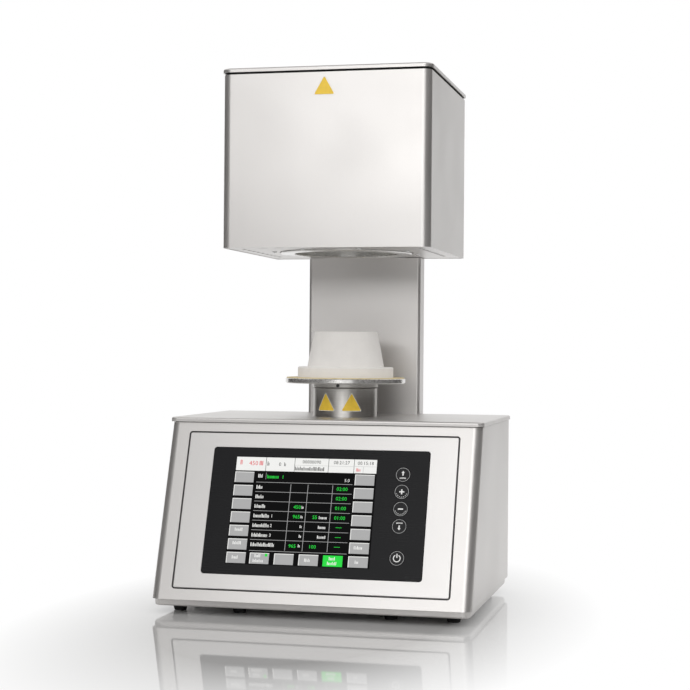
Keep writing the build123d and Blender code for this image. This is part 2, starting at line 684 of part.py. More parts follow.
def key_board():
    """Narrow circuit board with one dome switch under each key."""
    front = -FASCIA_SHEET - KEY_BOARD_DEPTH
    low, high = key_board_span()
    board = face_slab(KEY_X, (low + high) / 2, KEY_BOARD_W, high - low, 0, front - KEY_BOARD_T, front)
    dome_top = KEY_BACK - KEY_FOOT_L - KEY_TRAVEL - DOME_GAP
    for s in key_places().values():
        board += on_face(KEY_X, s, (front + dome_top) / 2) * Cylinder(DOME_R, dome_top - front)
    return board


def display_housing():
    """Carrier frame behind the front with the moulded tub for the display module and the keys."""
    front = -FASCIA_SHEET
    back = front - HOUSING_DEPTH
    carrier = face_slab(0, WINDOW_MID, CARRIER_W, CARRIER_H, CARRIER_R, front - CARRIER_SHEET, front)
    tub = face_slab(0, BEZEL_MID, BEZEL_W - 2 * BEZEL_LEDGE, BEZEL_H - 2 * BEZEL_LEDGE,
                    HOUSING_R, back, front)
    module = face_slab(SCREEN_X, SCREEN_MID, MODULE_W + 2 * SEAT, MODULE_H + 2 * SEAT, 0,
                       front - MODULE_DEPTH, 0)
    low, high = key_board_span()
    keys = face_slab(KEY_X, (low + high) / 2, KEY_BOARD_W + 2 * SEAT, high - low + 2 * SEAT, 0,
                     front - KEY_BOARD_DEPTH - KEY_BOARD_T, 0)
    relief = face_slab(SCREEN_X, SCREEN_MID, SCREEN_W - 2 * RELIEF_INSET, SCREEN_H - 2 * RELIEF_INSET,
                       HOUSING_R, back, back + RELIEF_DEPTH)
    return carrier + tub - module - keys - relief


def side_front_y(z, inset):
    """Where a line parallel to the leaning front, inset behind it, stands at height z."""
    return FRONT_Y + (z - SHEET_LOW_Z) * LEAN_TAN + inset / LEAN_COS


def side_panel(side):
    """Side sheet with folded top and rear flanges and the strip that laps behind the fascia."""
    inset = FASCIA_DEEP + SEAM
    outer = side * HALF_W
    inner = side * (HALF_W - SIDE_SHEET)
    lap = side * (HALF_W - SIDE_SHEET - SHEET)

    def upright(z0, z1, front, rear, x0, x1):
        """Plate between two slanted lines, each given by its inset behind the front; no rear: REAR_Y."""
        ends = [(REAR_Y, z0), (REAR_Y, z1)] if rear is None else \
            [(side_front_y(z0, rear), z0), (side_front_y(z1, rear), z1)]
        face = make_face(Plane.YZ * Polyline((side_front_y(z0, front), z0), *ends,
                                             (side_front_y(z1, front), z1), close=True))
        return Pos(min(x0, x1), 0, 0) * extrude(face, abs(x1 - x0), dir=(1, 0, 0))

    sheet = upright(SHEET_LOW_Z, BODY_TOP_Z, inset, None, outer, inner)
    strip = upright(PAN_TOP_Z + LAP_END, BODY_TOP_Z - LAP_END, inset - SEAM - FASCIA_RETURN + LAP_PLAY,
                    inset + LAP_W, inner, lap)
    x_low, x_high = sorted((inner, side * (HALF_W - SIDE_SHEET - SIDE_FLANGE)))
    inside_y = REAR_Y - SIDE_SHEET
    top = block(x_low, x_high, side_front_y(BODY_TOP_Z, inset + LAP_W + 1), inside_y,
                BODY_TOP_Z - SHEET, BODY_TOP_Z)
    rear = block(x_low, x_high, inside_y - SHEET, inside_y, PAN_TOP_Z + LAP_END, BODY_TOP_Z)
    return sheet + strip + top + rear


def rear_panel():
    """Rear sheet with the fan grille and the cut-outs for the inlet, the pump socket and the valve."""
    half = HALF_W - SIDE_SHEET - LAP_PLAY
    y0, y1 = REAR_Y - CUT, REAR_Y + CUT
    panel = block(-half, half, REAR_Y - SIDE_SHEET, REAR_Y, SHEET_LOW_Z, BODY_TOP_Z)
    for x, z, width, height in ((INLET_X, INLET_Z, INLET_BODY_W, INLET_BODY_H),
                                (SOCKET_X, SOCKET_Z, SOCKET_BODY_W, SOCKET_BODY_H)):
        wide, high = width / 2 + SEAT, height / 2 + SEAT
        panel -= block(x - wide, x + wide, y0, y1, z - high, z + high)
    panel -= along_y(VALVE_X, VALVE_Z, y0, y1, VALVE_NECK_R + SEAT)
    arm = Box(FAN_SIZE, 2 * CUT, GRILLE_ARM)
    arms = [Pos(FAN_X, REAR_Y, FAN_Z) * Rot(0, angle, 0) * arm for angle in (45, -45)]
    slots = []
    for row in range(GRILLE_RINGS):
        radius = FAN_SIZE / 2 - GRILLE_EDGE - GRILLE_PITCH * row
        outer = along_y(FAN_X, FAN_Z, y0, y1, radius + GRILLE_SLOT / 2)
        slots.append(outer - along_y(FAN_X, FAN_Z, y0, y1, radius - GRILLE_SLOT / 2))
    return panel - (slots[0] + slots[1:] - arms)


def base_lid():
    """Lid with a turned-down rim, a hole for the lift collar and a notch for the column."""
    y0 = BODY_TOP_FRONT_Y - LID_OVERHANG
    y1 = REAR_Y + LID_OVERHANG
    lid = cover((y0 + y1) / 2, BASE_W + 2 * LID_OVERHANG, y1 - y0, LID_LOW_Z, LID_RIM,
                LID_CORNER_R, LID_REAR_R, SHEET, LID_EDGE_R)
    lid -= rod(0, LIFT_Y, LID_LOW_Z - CUT, LID_TOP_Z + CUT, COLLAR_R + SEAT)
    half = COLUMN_W / 2 + NOTCH_PLAY
    return lid - block(-half, half, POST_FRONT_Y - POST_PLAY, REAR_Y + CUT, LID_LOW_Z - CUT, LID_TOP_Z + CUT)


def base_lid_seal():
    """Foam frame between the cabinet's upper edges and the lid."""
    y0 = BODY_TOP_FRONT_Y + SEAL_FRONT
    y1 = REAR_Y - LAP_PLAY
    half = HALF_W - SEAL_INSET
    z0, z1 = BODY_TOP_Z, LID_TOP_Z - SHEET
    frame = block(-half, half, y0, y1, z0, z1)
    frame -= block(-half + SEAL_W, half - SEAL_W, y0 + SEAL_W, y1 - SEAL_W, z0 - CUT, z1 + CUT)
    notch = COLUMN_W / 2 + NOTCH_PLAY
    return frame - block(-notch, notch, COLUMN_FRONT_Y, REAR_Y + CUT, z0 - CUT, z1 + CUT)


# ---- lift ------------------------------------------------------------------------------------
def lift_bridge():
    """Bridge on the cabinet floor that carries the screw bearing, the guide rods and the motor."""
    x0, x1 = -GUIDE_ROD_X - BRIDGE_END, MOTOR_X + MOTOR_R + BRIDGE_MOTOR_END
    y0, y1 = LIFT_Y - BRIDGE_DEPTH / 2, LIFT_Y + BRIDGE_DEPTH / 2
    foot_top = PAN_FLOOR_Z + BRIDGE_LEG_T
    bridge = block(x0, x1, y0, y1, BRIDGE_Z, BRIDGE_TOP_Z)
    bridge += [block(x0, x0 + BRIDGE_LEG_T, y0, y1, PAN_FLOOR_Z, BRIDGE_Z),
               block(x1 - BRIDGE_LEG_T, x1, y0, y1, PAN_FLOOR_Z, BRIDGE_Z),
               block(x0 - BRIDGE_FOOT, x0, y0, y1, PAN_FLOOR_Z, foot_top),
               block(x1, x1 + BRIDGE_FOOT, y0, y1, PAN_FLOOR_Z, foot_top)]
    bores = [(0, BEARING_R), (MOTOR_X, MOTOR_SPIGOT_R)]
    bores += [(x, GUIDE_ROD_R + RUN) for x in (-GUIDE_ROD_X, GUIDE_ROD_X)]
    return bridge - [rod(x, LIFT_Y, PAN_FLOOR_Z, BRIDGE_TOP_Z + CUT, radius) for x, radius in bores]


def lift_top_plate():
    """Plate under the lid that holds the collar and the guide rods, bolted to the post."""
    half = GUIDE_ROD_X + TOP_PLATE_END
    back = POST_FRONT_Y - APRON_T
    plate = block(-half, half, LIFT_Y - TOP_PLATE_FRONT, POST_FRONT_Y, TOP_PLATE_Z, TOP_PLATE_TOP_Z)
    plate += block(-APRON_W / 2, APRON_W / 2, back, POST_FRONT_Y, TOP_PLATE_Z - APRON_H, TOP_PLATE_Z)
    for x in (-RIB_X, RIB_X):
        rib = make_face(Plane.YZ * Polyline((back, TOP_PLATE_Z), (back, TOP_PLATE_Z - RIB_SIZE),
                                            (back - RIB_SIZE, TOP_PLATE_Z), close=True))
        plate += Pos(x - RIB_T / 2, 0, 0) * extrude(rib, RIB_T, dir=(1, 0, 0))
    bores = [(0, TUBE_R + TUBE_PLAY)] + [(x, GUIDE_ROD_R + RUN) for x in (-GUIDE_ROD_X, GUIDE_ROD_X)]
    return plate - [rod(x, LIFT_Y, TOP_PLATE_Z - CUT, TOP_PLATE_TOP_Z + CUT, radius) for x, radius in bores]


def guide_rods():
    """Two ground rods that the carriage slides on."""
    rods = [rod(x, LIFT_Y, BRIDGE_Z, TOP_PLATE_TOP_Z, GUIDE_ROD_R) for x in (-GUIDE_ROD_X, GUIDE_ROD_X)]
    return Compound(children=rods)


def carriage():
    """Cross head under the lift tube, with seats for the nut, the tube and both bushes."""
    half = GUIDE_ROD_X + CARRIAGE_END
    z0, z1 = CARRIAGE_LOW_Z, CARRIAGE_TOP_Z
    bar = block(-half, half, LIFT_Y - CARRIAGE_DEPTH / 2, LIFT_Y + CARRIAGE_DEPTH / 2, z0, z1)
    bar = fillet(bar.edges().filter_by(Axis.Z), CARRIAGE_EDGE_R)
    bar += rod(0, LIFT_Y, z0, z1, TUBE_R + CARRIAGE_HUB_W)
    bar -= rod(0, LIFT_Y, z0 - CUT, z1 + CUT, NUT_R + RUN)
    bar -= rod(0, LIFT_Y, TUBE_LOW_Z, z1 + CUT, TUBE_R + RUN)
    return bar - [rod(x, LIFT_Y, z0 - CUT, z1 + CUT, BUSH_R + RUN) for x in (-GUIDE_ROD_X, GUIDE_ROD_X)]


def carriage_bushes():
    """Two plain bushes between the carriage and the guide rods."""
    z0, z1 = CARRIAGE_LOW_Z - BUSH_PROUD, CARRIAGE_TOP_Z + BUSH_PROUD
    pair = [ring(x, LIFT_Y, z0, z1, BUSH_R, GUIDE_ROD_R + RUN) for x in (-GUIDE_ROD_X, GUIDE_ROD_X)]
    return Compound(children=pair)


def lead_nut():
    """Flanged bronze nut in the carriage."""
    inner = SCREW_R + RUN
    low, mid, top = CARRIAGE_LOW_Z - NUT_FLANGE_T, CARRIAGE_LOW_Z, CARRIAGE_TOP_Z - BUSH_PROUD
    return turned([(inner, low), (NUT_FLANGE_R, low), (NUT_FLANGE_R, mid), (NUT_R, mid), (NUT_R, top),
                   (inner, top)], 0, LIFT_Y)


def lead_screw():
    """Upright lead screw with its bearing journal below; the nut climbs the thicker part."""
    low = PAN_FLOOR_Z + SCREW_FLOOR_GAP
    shoulder = BRIDGE_TOP_Z + BEARING_FLANGE_T + SEAT
    top = CARRIAGE_TOP_Z + LIFT_TRAVEL + SCREW_SPARE
    return turned([(0, low), (JOURNAL_R, low), (JOURNAL_R, shoulder), (SCREW_R, shoulder),
                   (SCREW_R, top - SCREW_CHAMFER), (SCREW_R - SCREW_CHAMFER, top), (0, top)], 0, LIFT_Y)


def screw_bearing():
    """Flanged bearing of the lead screw, dropped into the bridge."""
    inner, outer = JOURNAL_R + RUN, BEARING_R - RUN
    top = BRIDGE_TOP_Z + BEARING_FLANGE_T
    return turned([(inner, BRIDGE_Z), (outer, BRIDGE_Z), (outer, BRIDGE_TOP_Z),
                   (BEARING_FLANGE_R, BRIDGE_TOP_Z), (BEARING_FLANGE_R, top), (inner, top)], 0, LIFT_Y)


def pulley_profile(inner):
    """Section of a flanged belt pulley below the bridge."""
    groove_low = PULLEY_Z + PULLEY_RIM_T
    groove_high = PULLEY_TOP_Z - PULLEY_RIM_T
    rim = PULLEY_R + PULLEY_RIM
    return [(inner, PULLEY_Z), (rim, PULLEY_Z), (rim, groove_low), (PULLEY_R, groove_low),
            (PULLEY_R, groove_high), (rim, groove_high), (rim, PULLEY_TOP_Z), (inner, PULLEY_TOP_Z)]


def screw_pulley():
    """Belt pulley on the screw's journal."""
    return turned(pulley_profile(JOURNAL_R + RUN), 0, LIFT_Y)


def motor_pulley():
    """Motor shaft with its belt pulley, the shaft reaching up into the motor."""
    wheel = turned(pulley_profile(0), MOTOR_X, LIFT_Y)
    return wheel + rod(MOTOR_X, LIFT_Y, PULLEY_TOP_Z - 1, BRIDGE_TOP_Z + MOTOR_SHAFT_L, MOTOR_SHAFT_R)


def drive_belt():
    """Belt round both pulleys."""
    inner = PULLEY_R + SEAT

    def loop(radius):
        return Pos(MOTOR_X / 2, LIFT_Y, BELT_Z) * SlotCenterToCenter(MOTOR_X, 2 * radius)

    return extrude(loop(inner + BELT_T) - loop(inner), BELT_W)


def lift_motor():
    """Geared motor that hangs its shaft through the bridge."""
    z0, z1 = BRIDGE_TOP_Z, BRIDGE_TOP_Z + MOTOR_H
    waist = z0 + MOTOR_GEAR_H
    can = MOTOR_R - 2
    spigot = MOTOR_SPIGOT_R - RUN
    body = turned([(0, BRIDGE_Z), (spigot, BRIDGE_Z), (spigot, z0), (MOTOR_R, z0), (MOTOR_R, waist),
                   (can, waist + 1), (can, z1 - 2), (can - 2, z1), (0, z1)], MOTOR_X, LIFT_Y)
    return body - rod(MOTOR_X, LIFT_Y, PAN_FLOOR_Z, z0 + MOTOR_SHAFT_L + 1, MOTOR_SHAFT_R + RUN)


def collar():
    """Brushed collar round the lift tube, standing on the top plate and out through the lid."""
    inner = COLLAR_R - COLLAR_WALL
    z0, z1 = TOP_PLATE_TOP_Z, COLLAR_TOP_Z
    edge = COLLAR_EDGE
    return turned([(COLLAR_FOOT_R, z0), (COLLAR_R, z0), (COLLAR_R, z1 - edge), (COLLAR_R - edge, z1),
                   (LIP_R, z1), (LIP_R, z1 - LIP_T), (inner, z1 - LIP_T), (inner, z0 + LIP_T),
                   (COLLAR_FOOT_R, z0 + LIP_T)], 0, LIFT_Y)


def collar_bush():
    """Guide bush of the lift tube, its shoulder under the collar's lip."""
    inner, neck, shoulder = TUBE_R + RUN, LIP_R - RUN, LIP_R + LIP_W - SEAT
    z0, z1 = COLLAR_TOP_Z - COLLAR_BUSH_H, COLLAR_TOP_Z
    top = z1 - BUSH_SUNK
    return turned([(inner, z0), (shoulder, z0), (shoulder, z1 - LIP_T), (neck, z1 - LIP_T), (neck, top),
                   (inner, top)], 0, LIFT_Y)


def lift_tube():
    """Lift tube with its welded table hub; the bore clears the lead screw."""
    inner = TUBE_R - TUBE_WALL
    edge = HUB_R - HUB_EDGE
    tube = turned([(inner, TUBE_LOW_Z), (TUBE_R, TUBE_LOW_Z), (TUBE_R, HUB_Z), (edge, HUB_Z),
                   (HUB_R, HUB_Z + HUB_EDGE), (HUB_R, TABLE_Z), (inner, TABLE_Z)], 0, LIFT_Y)
    front = LIFT_Y - HUB_R
    bottom = front + HUB_SCREW_L - HUB_SCREW_PROUD + 1
    return tube - along_y(0, HUB_Z + HUB_H / 2, front - CUT, bottom, HUB_SCREW_R + RUN)


def hub_screw():
    """Black screw in the front of the hub, standing out a little."""
    head = LIFT_Y - HUB_R - HUB_SCREW_PROUD
    return along_y(0, HUB_Z + HUB_H / 2, head, head + HUB_SCREW_L, HUB_SCREW_R)


def sealing_plate():
    """Round table plate with a polished rim, a groove for the gasket and a pin for the plug."""
    edge = TABLE_EDGE_R
    z0, z1 = TABLE_Z, TABLE_TOP_Z
    sunk = GASKET_TOP_Z - GASKET_H
    groove_in, groove_out = GASKET_IN_R - GROOVE_PLAY, GASKET_OUT_R + GROOVE_PLAY
    return turned([(0, z0), (TABLE_R - edge, z0), (TABLE_R, z0 + edge), (TABLE_R, z1 - edge / 2),
                   (TABLE_R - edge / 2, z1), (groove_out, z1), (groove_out, sunk), (groove_in, sunk),
                   (groove_in, z1), (PLUG_PIN_R, z1), (PLUG_PIN_R, z1 + PLUG_PIN_H), (0, z1 + PLUG_PIN_H)],
                  0, LIFT_Y)


def plate_gasket():
    """Flat seal ring in the plate's groove."""
    z0, z1, edge = GASKET_TOP_Z - GASKET_H, GASKET_TOP_Z, GASKET_EDGE
    return turned([(GASKET_IN_R, z0), (GASKET_OUT_R, z0), (GASKET_OUT_R, z1 - edge),
                   (GASKET_OUT_R - edge, z1), (GASKET_IN_R + edge, z1), (GASKET_IN_R, z1 - edge)], 0, LIFT_Y)


def firing_plug():
    """Ceramic plug: a flange on the table plate and the cone that closes the chamber."""
    z0 = TABLE_TOP_Z
    flange_top = z0 + PLUG_FLANGE_H
    plug = turned([(0, z0), (PLUG_FLANGE_R, z0), (PLUG_FLANGE_R, flange_top), (PLUG_CONE_LOW_R, flange_top),
                   (PLUG_CONE_TOP_R, PLUG_TOP_Z), (0, PLUG_TOP_Z)], 0, LIFT_Y)
    rims = plug.edges().filter_by(GeomType.CIRCLE)
    outer = [e for e in rims if abs(e.radius - PLUG_FLANGE_R) < 0.1 and e.center().Z > z0 + 1]
    upper = [e for e in rims if abs(e.radius - PLUG_CONE_TOP_R) < 0.1]
    plug = fillet(outer + upper, PLUG_EDGE_R)
    return plug - rod(0, LIFT_Y, z0 - 1, z0 + PLUG_PIN_H + PLUG_PIN_END, PLUG_PIN_R + RUN)


# ---- column ----------------------------------------------------------------------------------
def column_post():
    """Steel channel from the cabinet floor into the head, with holes for the vacuum hose."""
    section = u_sheet(POST_W, POST_FLANGE, POST_SHEET + POST_BEND, POST_SHEET)
    post = extrude(Pos(0, POST_FRONT_Y, PAN_FLOOR_Z) * section, POST_TOP_Z - PAN_FLOOR_Z)
    half = POST_W / 2
    post += block(-half, half, POST_FRONT_Y - POST_FOOT, POST_BACK_Y, PAN_FLOOR_Z, PAN_FLOOR_Z + POST_FOOT_T)
    wide = HOSE_R + HOSE_PLAY
    y0, y1 = POST_FRONT_Y - CUT, POST_BACK_Y + CUT
    post -= along_y(0, hose_top_z(), y0, y1, wide)
    post -= block(-wide, wide, y0, y1, hose_top_z() - HOSE_BEND_R, hose_top_z())
    return post - Pos(half, hose_y(), VALVE_Z) * Rot(0, 90, 0) * Cylinder(wide, CUT)


def column_cover():
    """Front and sides of the column, one folded sheet that stands on the base lid."""
    section = u_sheet(COLUMN_W, HEAD_REAR_Y - COLUMN_FRONT_Y, COLUMN_CORNER_R, SHEET)
    return extrude(Pos(0, COLUMN_FRONT_Y, LID_TOP_Z) * section, HEAD_LOW_Z - COLUMN_END - LID_TOP_Z)


def column_rear_cover():
    """Shallow cover down the back of the column and of the cabinet."""
    width = COLUMN_W - 2 * SHEET - 2 * SEAT
    depth = HEAD_REAR_Y - REAR_Y - SEAT
    section = Pos(0, HEAD_REAR_Y, SPINE_FOOT_Z) * Rot(0, 0, 180) * u_sheet(width, depth, SPINE_BEND, SHEET)
    return extrude(section, HEAD_LOW_Z - COLUMN_END - SPINE_FOOT_Z)


# ---- head ------------------------------------------------------------------------------------
def head_floor():
    """Floor tray of the head with the chamber opening, cooling slots and tabs on the post."""
    half = HEAD_W / 2 - SHEET - SEAT
    y0 = HEAD_FRONT_Y + SHEET + SEAT
    y1 = HEAD_REAR_Y - SHEET - SEAT
    z0 = HEAD_FLOOR_Z
    floor = tray(0, (y0 + y1) / 2, 2 * half, y1 - y0, z0, FLOOR_RIM, HEAD_CORNER_R - SHEET, FLOOR_SHEET)
    floor -= rod(0, LIFT_Y, z0 - CUT, z0 + CUT, RING_OUT_R + RING_PLAY)
    notch = POST_W / 2 + SEAT
    floor -= block(-notch, notch, POST_FRONT_Y - POST_PLAY, HEAD_REAR_Y + CUT, z0 - CUT, z0 + CUT)
    slots = []
    for side in (-1, 1):
        for row in range(HEAD_SLOT_ROWS):
            y = LIFT_Y + HEAD_SLOT_PITCH * (row - (HEAD_SLOT_ROWS - 1) / 2)
            slots.append(Pos(side * (half - HEAD_SLOT_SIDE), y, z0) * Box(HEAD_SLOT_W, HEAD_SLOT_L, CUT / 2))
    for step in range(FRONT_SLOTS):
        x = FRONT_SLOT_PITCH * (step - (FRONT_SLOTS - 1) / 2)
        slots.append(Pos(x, HEAD_FRONT_Y + FRONT_SLOT_BACK, z0) * Box(FRONT_SLOT_L, FRONT_SLOT_W, CUT / 2))
    floor -= slots
    for side in (-1, 1):
        x0, x1 = sorted((side * notch, side * (notch + FLOOR_TAB_T)))
        floor += block(x0, x1, POST_FRONT_Y + POST_SHEET, POST_BACK_Y, z0, z0 + FLOOR_TAB_H)
    return floor


def head_shell():
    """Front and sides of the head, one folded sheet with a turned-in upper flange."""
    wall = extrude(Pos(0, HEAD_FRONT_Y, HEAD_LOW_Z)
                   * u_sheet(HEAD_W, HEAD_DEPTH, HEAD_CORNER_R, SHEET), HEAD_H)
    flange = extrude(Pos(0, HEAD_FRONT_Y, HEAD_TOP_Z - SHEET)
                     * u_sheet(HEAD_W - SHEET, HEAD_DEPTH, HEAD_CORNER_R, HEAD_FLANGE), SHEET)
    room = block(-HEAD_W / 2, HEAD_W / 2, HEAD_FRONT_Y + SHEET / 2, HEAD_REAR_Y - SHEET - LAP_PLAY,
                 HEAD_TOP_Z - SHEET, HEAD_TOP_Z)
    return wall + (flange & room)


def head_rear_panel():
    """Rear sheet of the head with two banks of cooling slots."""
    half = HEAD_W / 2 - SHEET - LAP_PLAY
    panel = block(-half, half, HEAD_REAR_Y - SHEET, HEAD_REAR_Y, HEAD_LOW_Z, HEAD_TOP_Z)
    slots = []
    for side in (-1, 1):
        for row in range(REAR_SLOT_ROWS):
            place = Pos(side * REAR_SLOT_X, HEAD_REAR_Y, HEAD_LOW_Z + REAR_SLOT_LOW + REAR_SLOT_PITCH * row)
            slots.append(place * Box(REAR_SLOT_L, CUT, REAR_SLOT_W))
    return panel - slots


def head_lid():
    """Lid of the head with a turned-down rim and two banks of cooling slots."""
    over = HEAD_LID_OVERHANG
    lid = cover(HEAD_FRONT_Y + HEAD_DEPTH / 2, HEAD_W + 2 * over, HEAD_DEPTH + 2 * over, HEAD_LID_Z,
                HEAD_LID_H, HEAD_CORNER_R + over, LID_REAR_R, SHEET, HEAD_LID_EDGE_R)
    slots = []
    for side in (-1, 1):
        for row in range(LID_SLOT_ROWS):
            y = HEAD_REAR_Y - LID_SLOT_REAR - LID_SLOT_PITCH * row
            place = Pos(side * LID_SLOT_X, y, HEAD_LID_Z + HEAD_LID_H)
            slots.append(place * Box(LID_SLOT_L, LID_SLOT_W, 2 * HEAD_LID_H))
    return lid - slots


def head_lid_seal():
    """Black gasket frame between the head shell and its lid."""
    width = HEAD_W - 2 * HEAD_SEAL_INSET
    depth = HEAD_DEPTH - 2 * HEAD_SEAL_INSET
    z1 = HEAD_LID_Z + HEAD_LID_H - SHEET
    plan = lid_plan(width, depth, HEAD_CORNER_R - HEAD_SEAL_INSET, SHEET)
    hollow = Rectangle(width - 2 * HEAD_SEAL_W, depth - 2 * HEAD_SEAL_W)
    return extrude(Pos(0, HEAD_FRONT_Y + HEAD_DEPTH / 2, HEAD_TOP_Z) * (plan - hollow), z1 - HEAD_TOP_Z)


# ---- firing chamber --------------------------------------------------------------------------
def terminal_places():
    """Centres of the two heater terminals on top of the chamber."""
    radius = (MUFFLE_IN_R + MUFFLE_OUT_R) / 2
    return [(-radius, LIFT_Y), (radius, LIFT_Y)]


def chamber_flange():
    """Polished sealing ring under the head with the wide flange that rests on the head's floor."""
    z0, z1, z2 = RING_LOW_Z, HEAD_FLOOR_TOP_Z, FLANGE_TOP_Z
    edge = RING_EDGE
    return turned([(RING_IN_R + edge, z0), (RING_OUT_R - edge, z0), (RING_OUT_R, z0 + edge), (RING_OUT_R, z1),
                   (FLANGE_R, z1), (FLANGE_R, z2), (RING_IN_R, z2), (RING_IN_R, z0 + edge)], 0, LIFT_Y)


def bell_port_y():
    """Rear end of the bell's suction stub."""
    return LIFT_Y + BELL_R + STUB_L


def vacuum_bell():
    """Steel bell over the insulation, with a bolting rim and the suction stub at the back."""
    inner = BELL_IN_R
    z0, z1, rim = FLANGE_TOP_Z, BELL_TOP_Z, FLANGE_TOP_Z + BELL_RIM_T
    bend = BELL_BEND
    bell = turned([(inner, z0), (FLANGE_R, z0), (FLANGE_R, rim), (BELL_R, rim), (BELL_R, z1 - bend),
                   (BELL_R - bend, z1), (0, z1), (0, z1 - BELL_WALL), (inner - bend, z1 - BELL_WALL),
                   (inner, z1 - BELL_WALL - bend)], 0, LIFT_Y)
    bell += along_y(0, hose_top_z(), LIFT_Y + inner + BELL_WALL / 4, bell_port_y(), HOSE_R)
    bell -= along_y(0, hose_top_z(), LIFT_Y + inner - BELL_WALL, bell_port_y() + CUT, HOSE_BORE_R)
    holes = [rod(x, y, z1 - CUT / 2, z1 + CUT, LEAD_R + 2 * PIN_PLAY) for x, y in terminal_places()]
    return bell - holes - rod(0, LIFT_Y, z1 - CUT / 2, z1 + CUT, SENSOR_R + PIN_PLAY)


def chamber_insulation():
    """Fibre lining of the bell: mouth ring, wall ring round the muffle, and ceiling."""
    outer = BELL_IN_R - SEAT
    mouth = MUFFLE_IN_R + MOUTH_GAP
    wall = MUFFLE_OUT_R + SEAT
    throat = RING_IN_R + MOUTH_GAP
    z0, z1, bevel = FLANGE_TOP_Z, CEILING_TOP_Z, LINING_BEVEL
    mouth_ring = turned([(throat, z0), (outer, z0), (outer, MUFFLE_Z), (mouth, MUFFLE_Z),
                         (mouth, MOUTH_Z), (throat, MOUTH_Z)], 0, LIFT_Y)
    wall_ring = ring(0, LIFT_Y, MUFFLE_Z + SEAT, MUFFLE_TOP_Z - SEAT, outer, wall)
    ceiling = turned([(0, MUFFLE_TOP_Z), (outer, MUFFLE_TOP_Z), (outer, z1 - bevel), (outer - bevel, z1),
                      (0, z1)], 0, LIFT_Y)
    low = MUFFLE_TOP_Z - CUT / 2
    ceiling -= rod(0, LIFT_Y, low, z1 + CUT, SENSOR_R + PIN_PLAY)
    ceiling -= [rod(x, y, low, z1 + CUT, LEAD_R + PIN_PLAY) for x, y in terminal_places()]
    return mouth_ring + wall_ring + ceiling


def heating_muffle():
    """Quartz muffle whose inside swells into rounded ribs where the heating wire lies."""
    z0, z1 = MUFFLE_Z, MUFFLE_TOP_Z - SEAT
    root = MUFFLE_IN_R + RIB_DEPTH
    pitch = (z1 - z0) / MUFFLE_RIBS
    inside = []
    for index in range(MUFFLE_RIBS):
        low = z1 - pitch * index
        inside += [(root, low), (MUFFLE_IN_R, low - 0.3 * pitch), (MUFFLE_IN_R, low - 0.7 * pitch)]
    return turned([(MUFFLE_OUT_R, z0), (MUFFLE_OUT_R, z1)] + inside + [(root, z0)], 0, LIFT_Y)


def thermocouple():
    """Sheathed temperature sensor through the chamber's ceiling, with its head on the bell."""
    z1 = BELL_TOP_Z
    tip = MUFFLE_TOP_Z - SENSOR_REACH
    head_r, cap_r, head_top = SENSOR_HEAD_R, SENSOR_HEAD_R - 3, z1 + SENSOR_HEAD_H
    cap = [(cap_r, head_top + 2), (cap_r, head_top + 8), (0, head_top + 8)]
    return turned([(0, tip), (SENSOR_R - 1, tip + 1), (SENSOR_R, tip + 4), (SENSOR_R, z1), (head_r, z1),
                   (head_r, head_top), *cap], 0, LIFT_Y)


def heater_terminals():
    """Two heater leads through the ceiling, each with its ceramic bead on the bell."""
    z1 = BELL_TOP_Z
    profile = [(0, MUFFLE_TOP_Z), (LEAD_R, MUFFLE_TOP_Z), (LEAD_R, z1), (BEAD_R, z1), (BEAD_R, z1 + BEAD_H),
               (LEAD_R, z1 + BEAD_H), (LEAD_R, z1 + LEAD_H), (0, z1 + LEAD_H)]
    return Compound(children=[turned(profile, x, y) for x, y in terminal_places()])


# ---- vacuum line -----------------------------------------------------------------------------
def hose_y():
    """Depth at which the hose runs down inside the post."""
    return POST_FRONT_Y + POST_SHEET + HOSE_R + HOSE_PLAY


def hose_top_z():
    """Height of the bell's suction stub."""
    return FLANGE_TOP_Z + STUB_UP


def vacuum_hose():
    """Hose from the bell down inside the post to the valve."""
    y = hose_y()
    path = FilletPolyline((0, bell_port_y(), hose_top_z()), (0, y, hose_top_z()), (0, y, VALVE_Z),
                          (valve_stub_x(), y, VALVE_Z), radius=HOSE_BEND_R)
    start = Plane(origin=(0, bell_port_y(), hose_top_z()), z_dir=(0, 1, 0))
    return sweep(start * (Circle(HOSE_R) - Circle(HOSE_BORE_R)), path)


def valve_stub_x():
    """Outer end of the valve's inlet stub."""
    return VALVE_X - VALVE_SIZE / 2 - VALVE_STUB_L


def vacuum_valve():
    """Solenoid valve on the rear panel with its inlet stub, coil and the hose nozzle outside."""
    half, tall = VALVE_SIZE / 2, VALVE_H / 2
    y1 = REAR_Y - SIDE_SHEET
    body = block(VALVE_X - half, VALVE_X + half, y1 - VALVE_DEPTH, y1, VALVE_Z - tall, VALVE_Z + tall)
    body = fillet(body.edges().filter_by(Axis.Y), VALVE_EDGE_R)
    stub = Pos(valve_stub_x() + VALVE_STUB_L / 2, hose_y(), VALVE_Z) * Rot(0, 90, 0) \
        * Cylinder(HOSE_R, VALVE_STUB_L)
    body += stub + rod(VALVE_X, y1 - COIL_SETBACK, VALVE_Z + tall, VALVE_Z + tall + COIL_H, COIL_R)
    body += along_y(VALVE_X, VALVE_Z, y1, REAR_Y, VALVE_NECK_R)
    outside = Plane(origin=(VALVE_X, REAR_Y, VALVE_Z), x_dir=(1, 0, 0), z_dir=(0, 1, 0))
    body += extrude(outside * RegularPolygon(NUT_SIZE, 6), NUT_T)
    body += along_y(VALVE_X, VALVE_Z, REAR_Y, REAR_Y + NOZZLE_REACH, SPIGOT_R)
    return body - along_y(VALVE_X, VALVE_Z, y1 - VALVE_DEPTH / 2, REAR_Y + NOZZLE_REACH + CUT, VALVE_BORE_R)


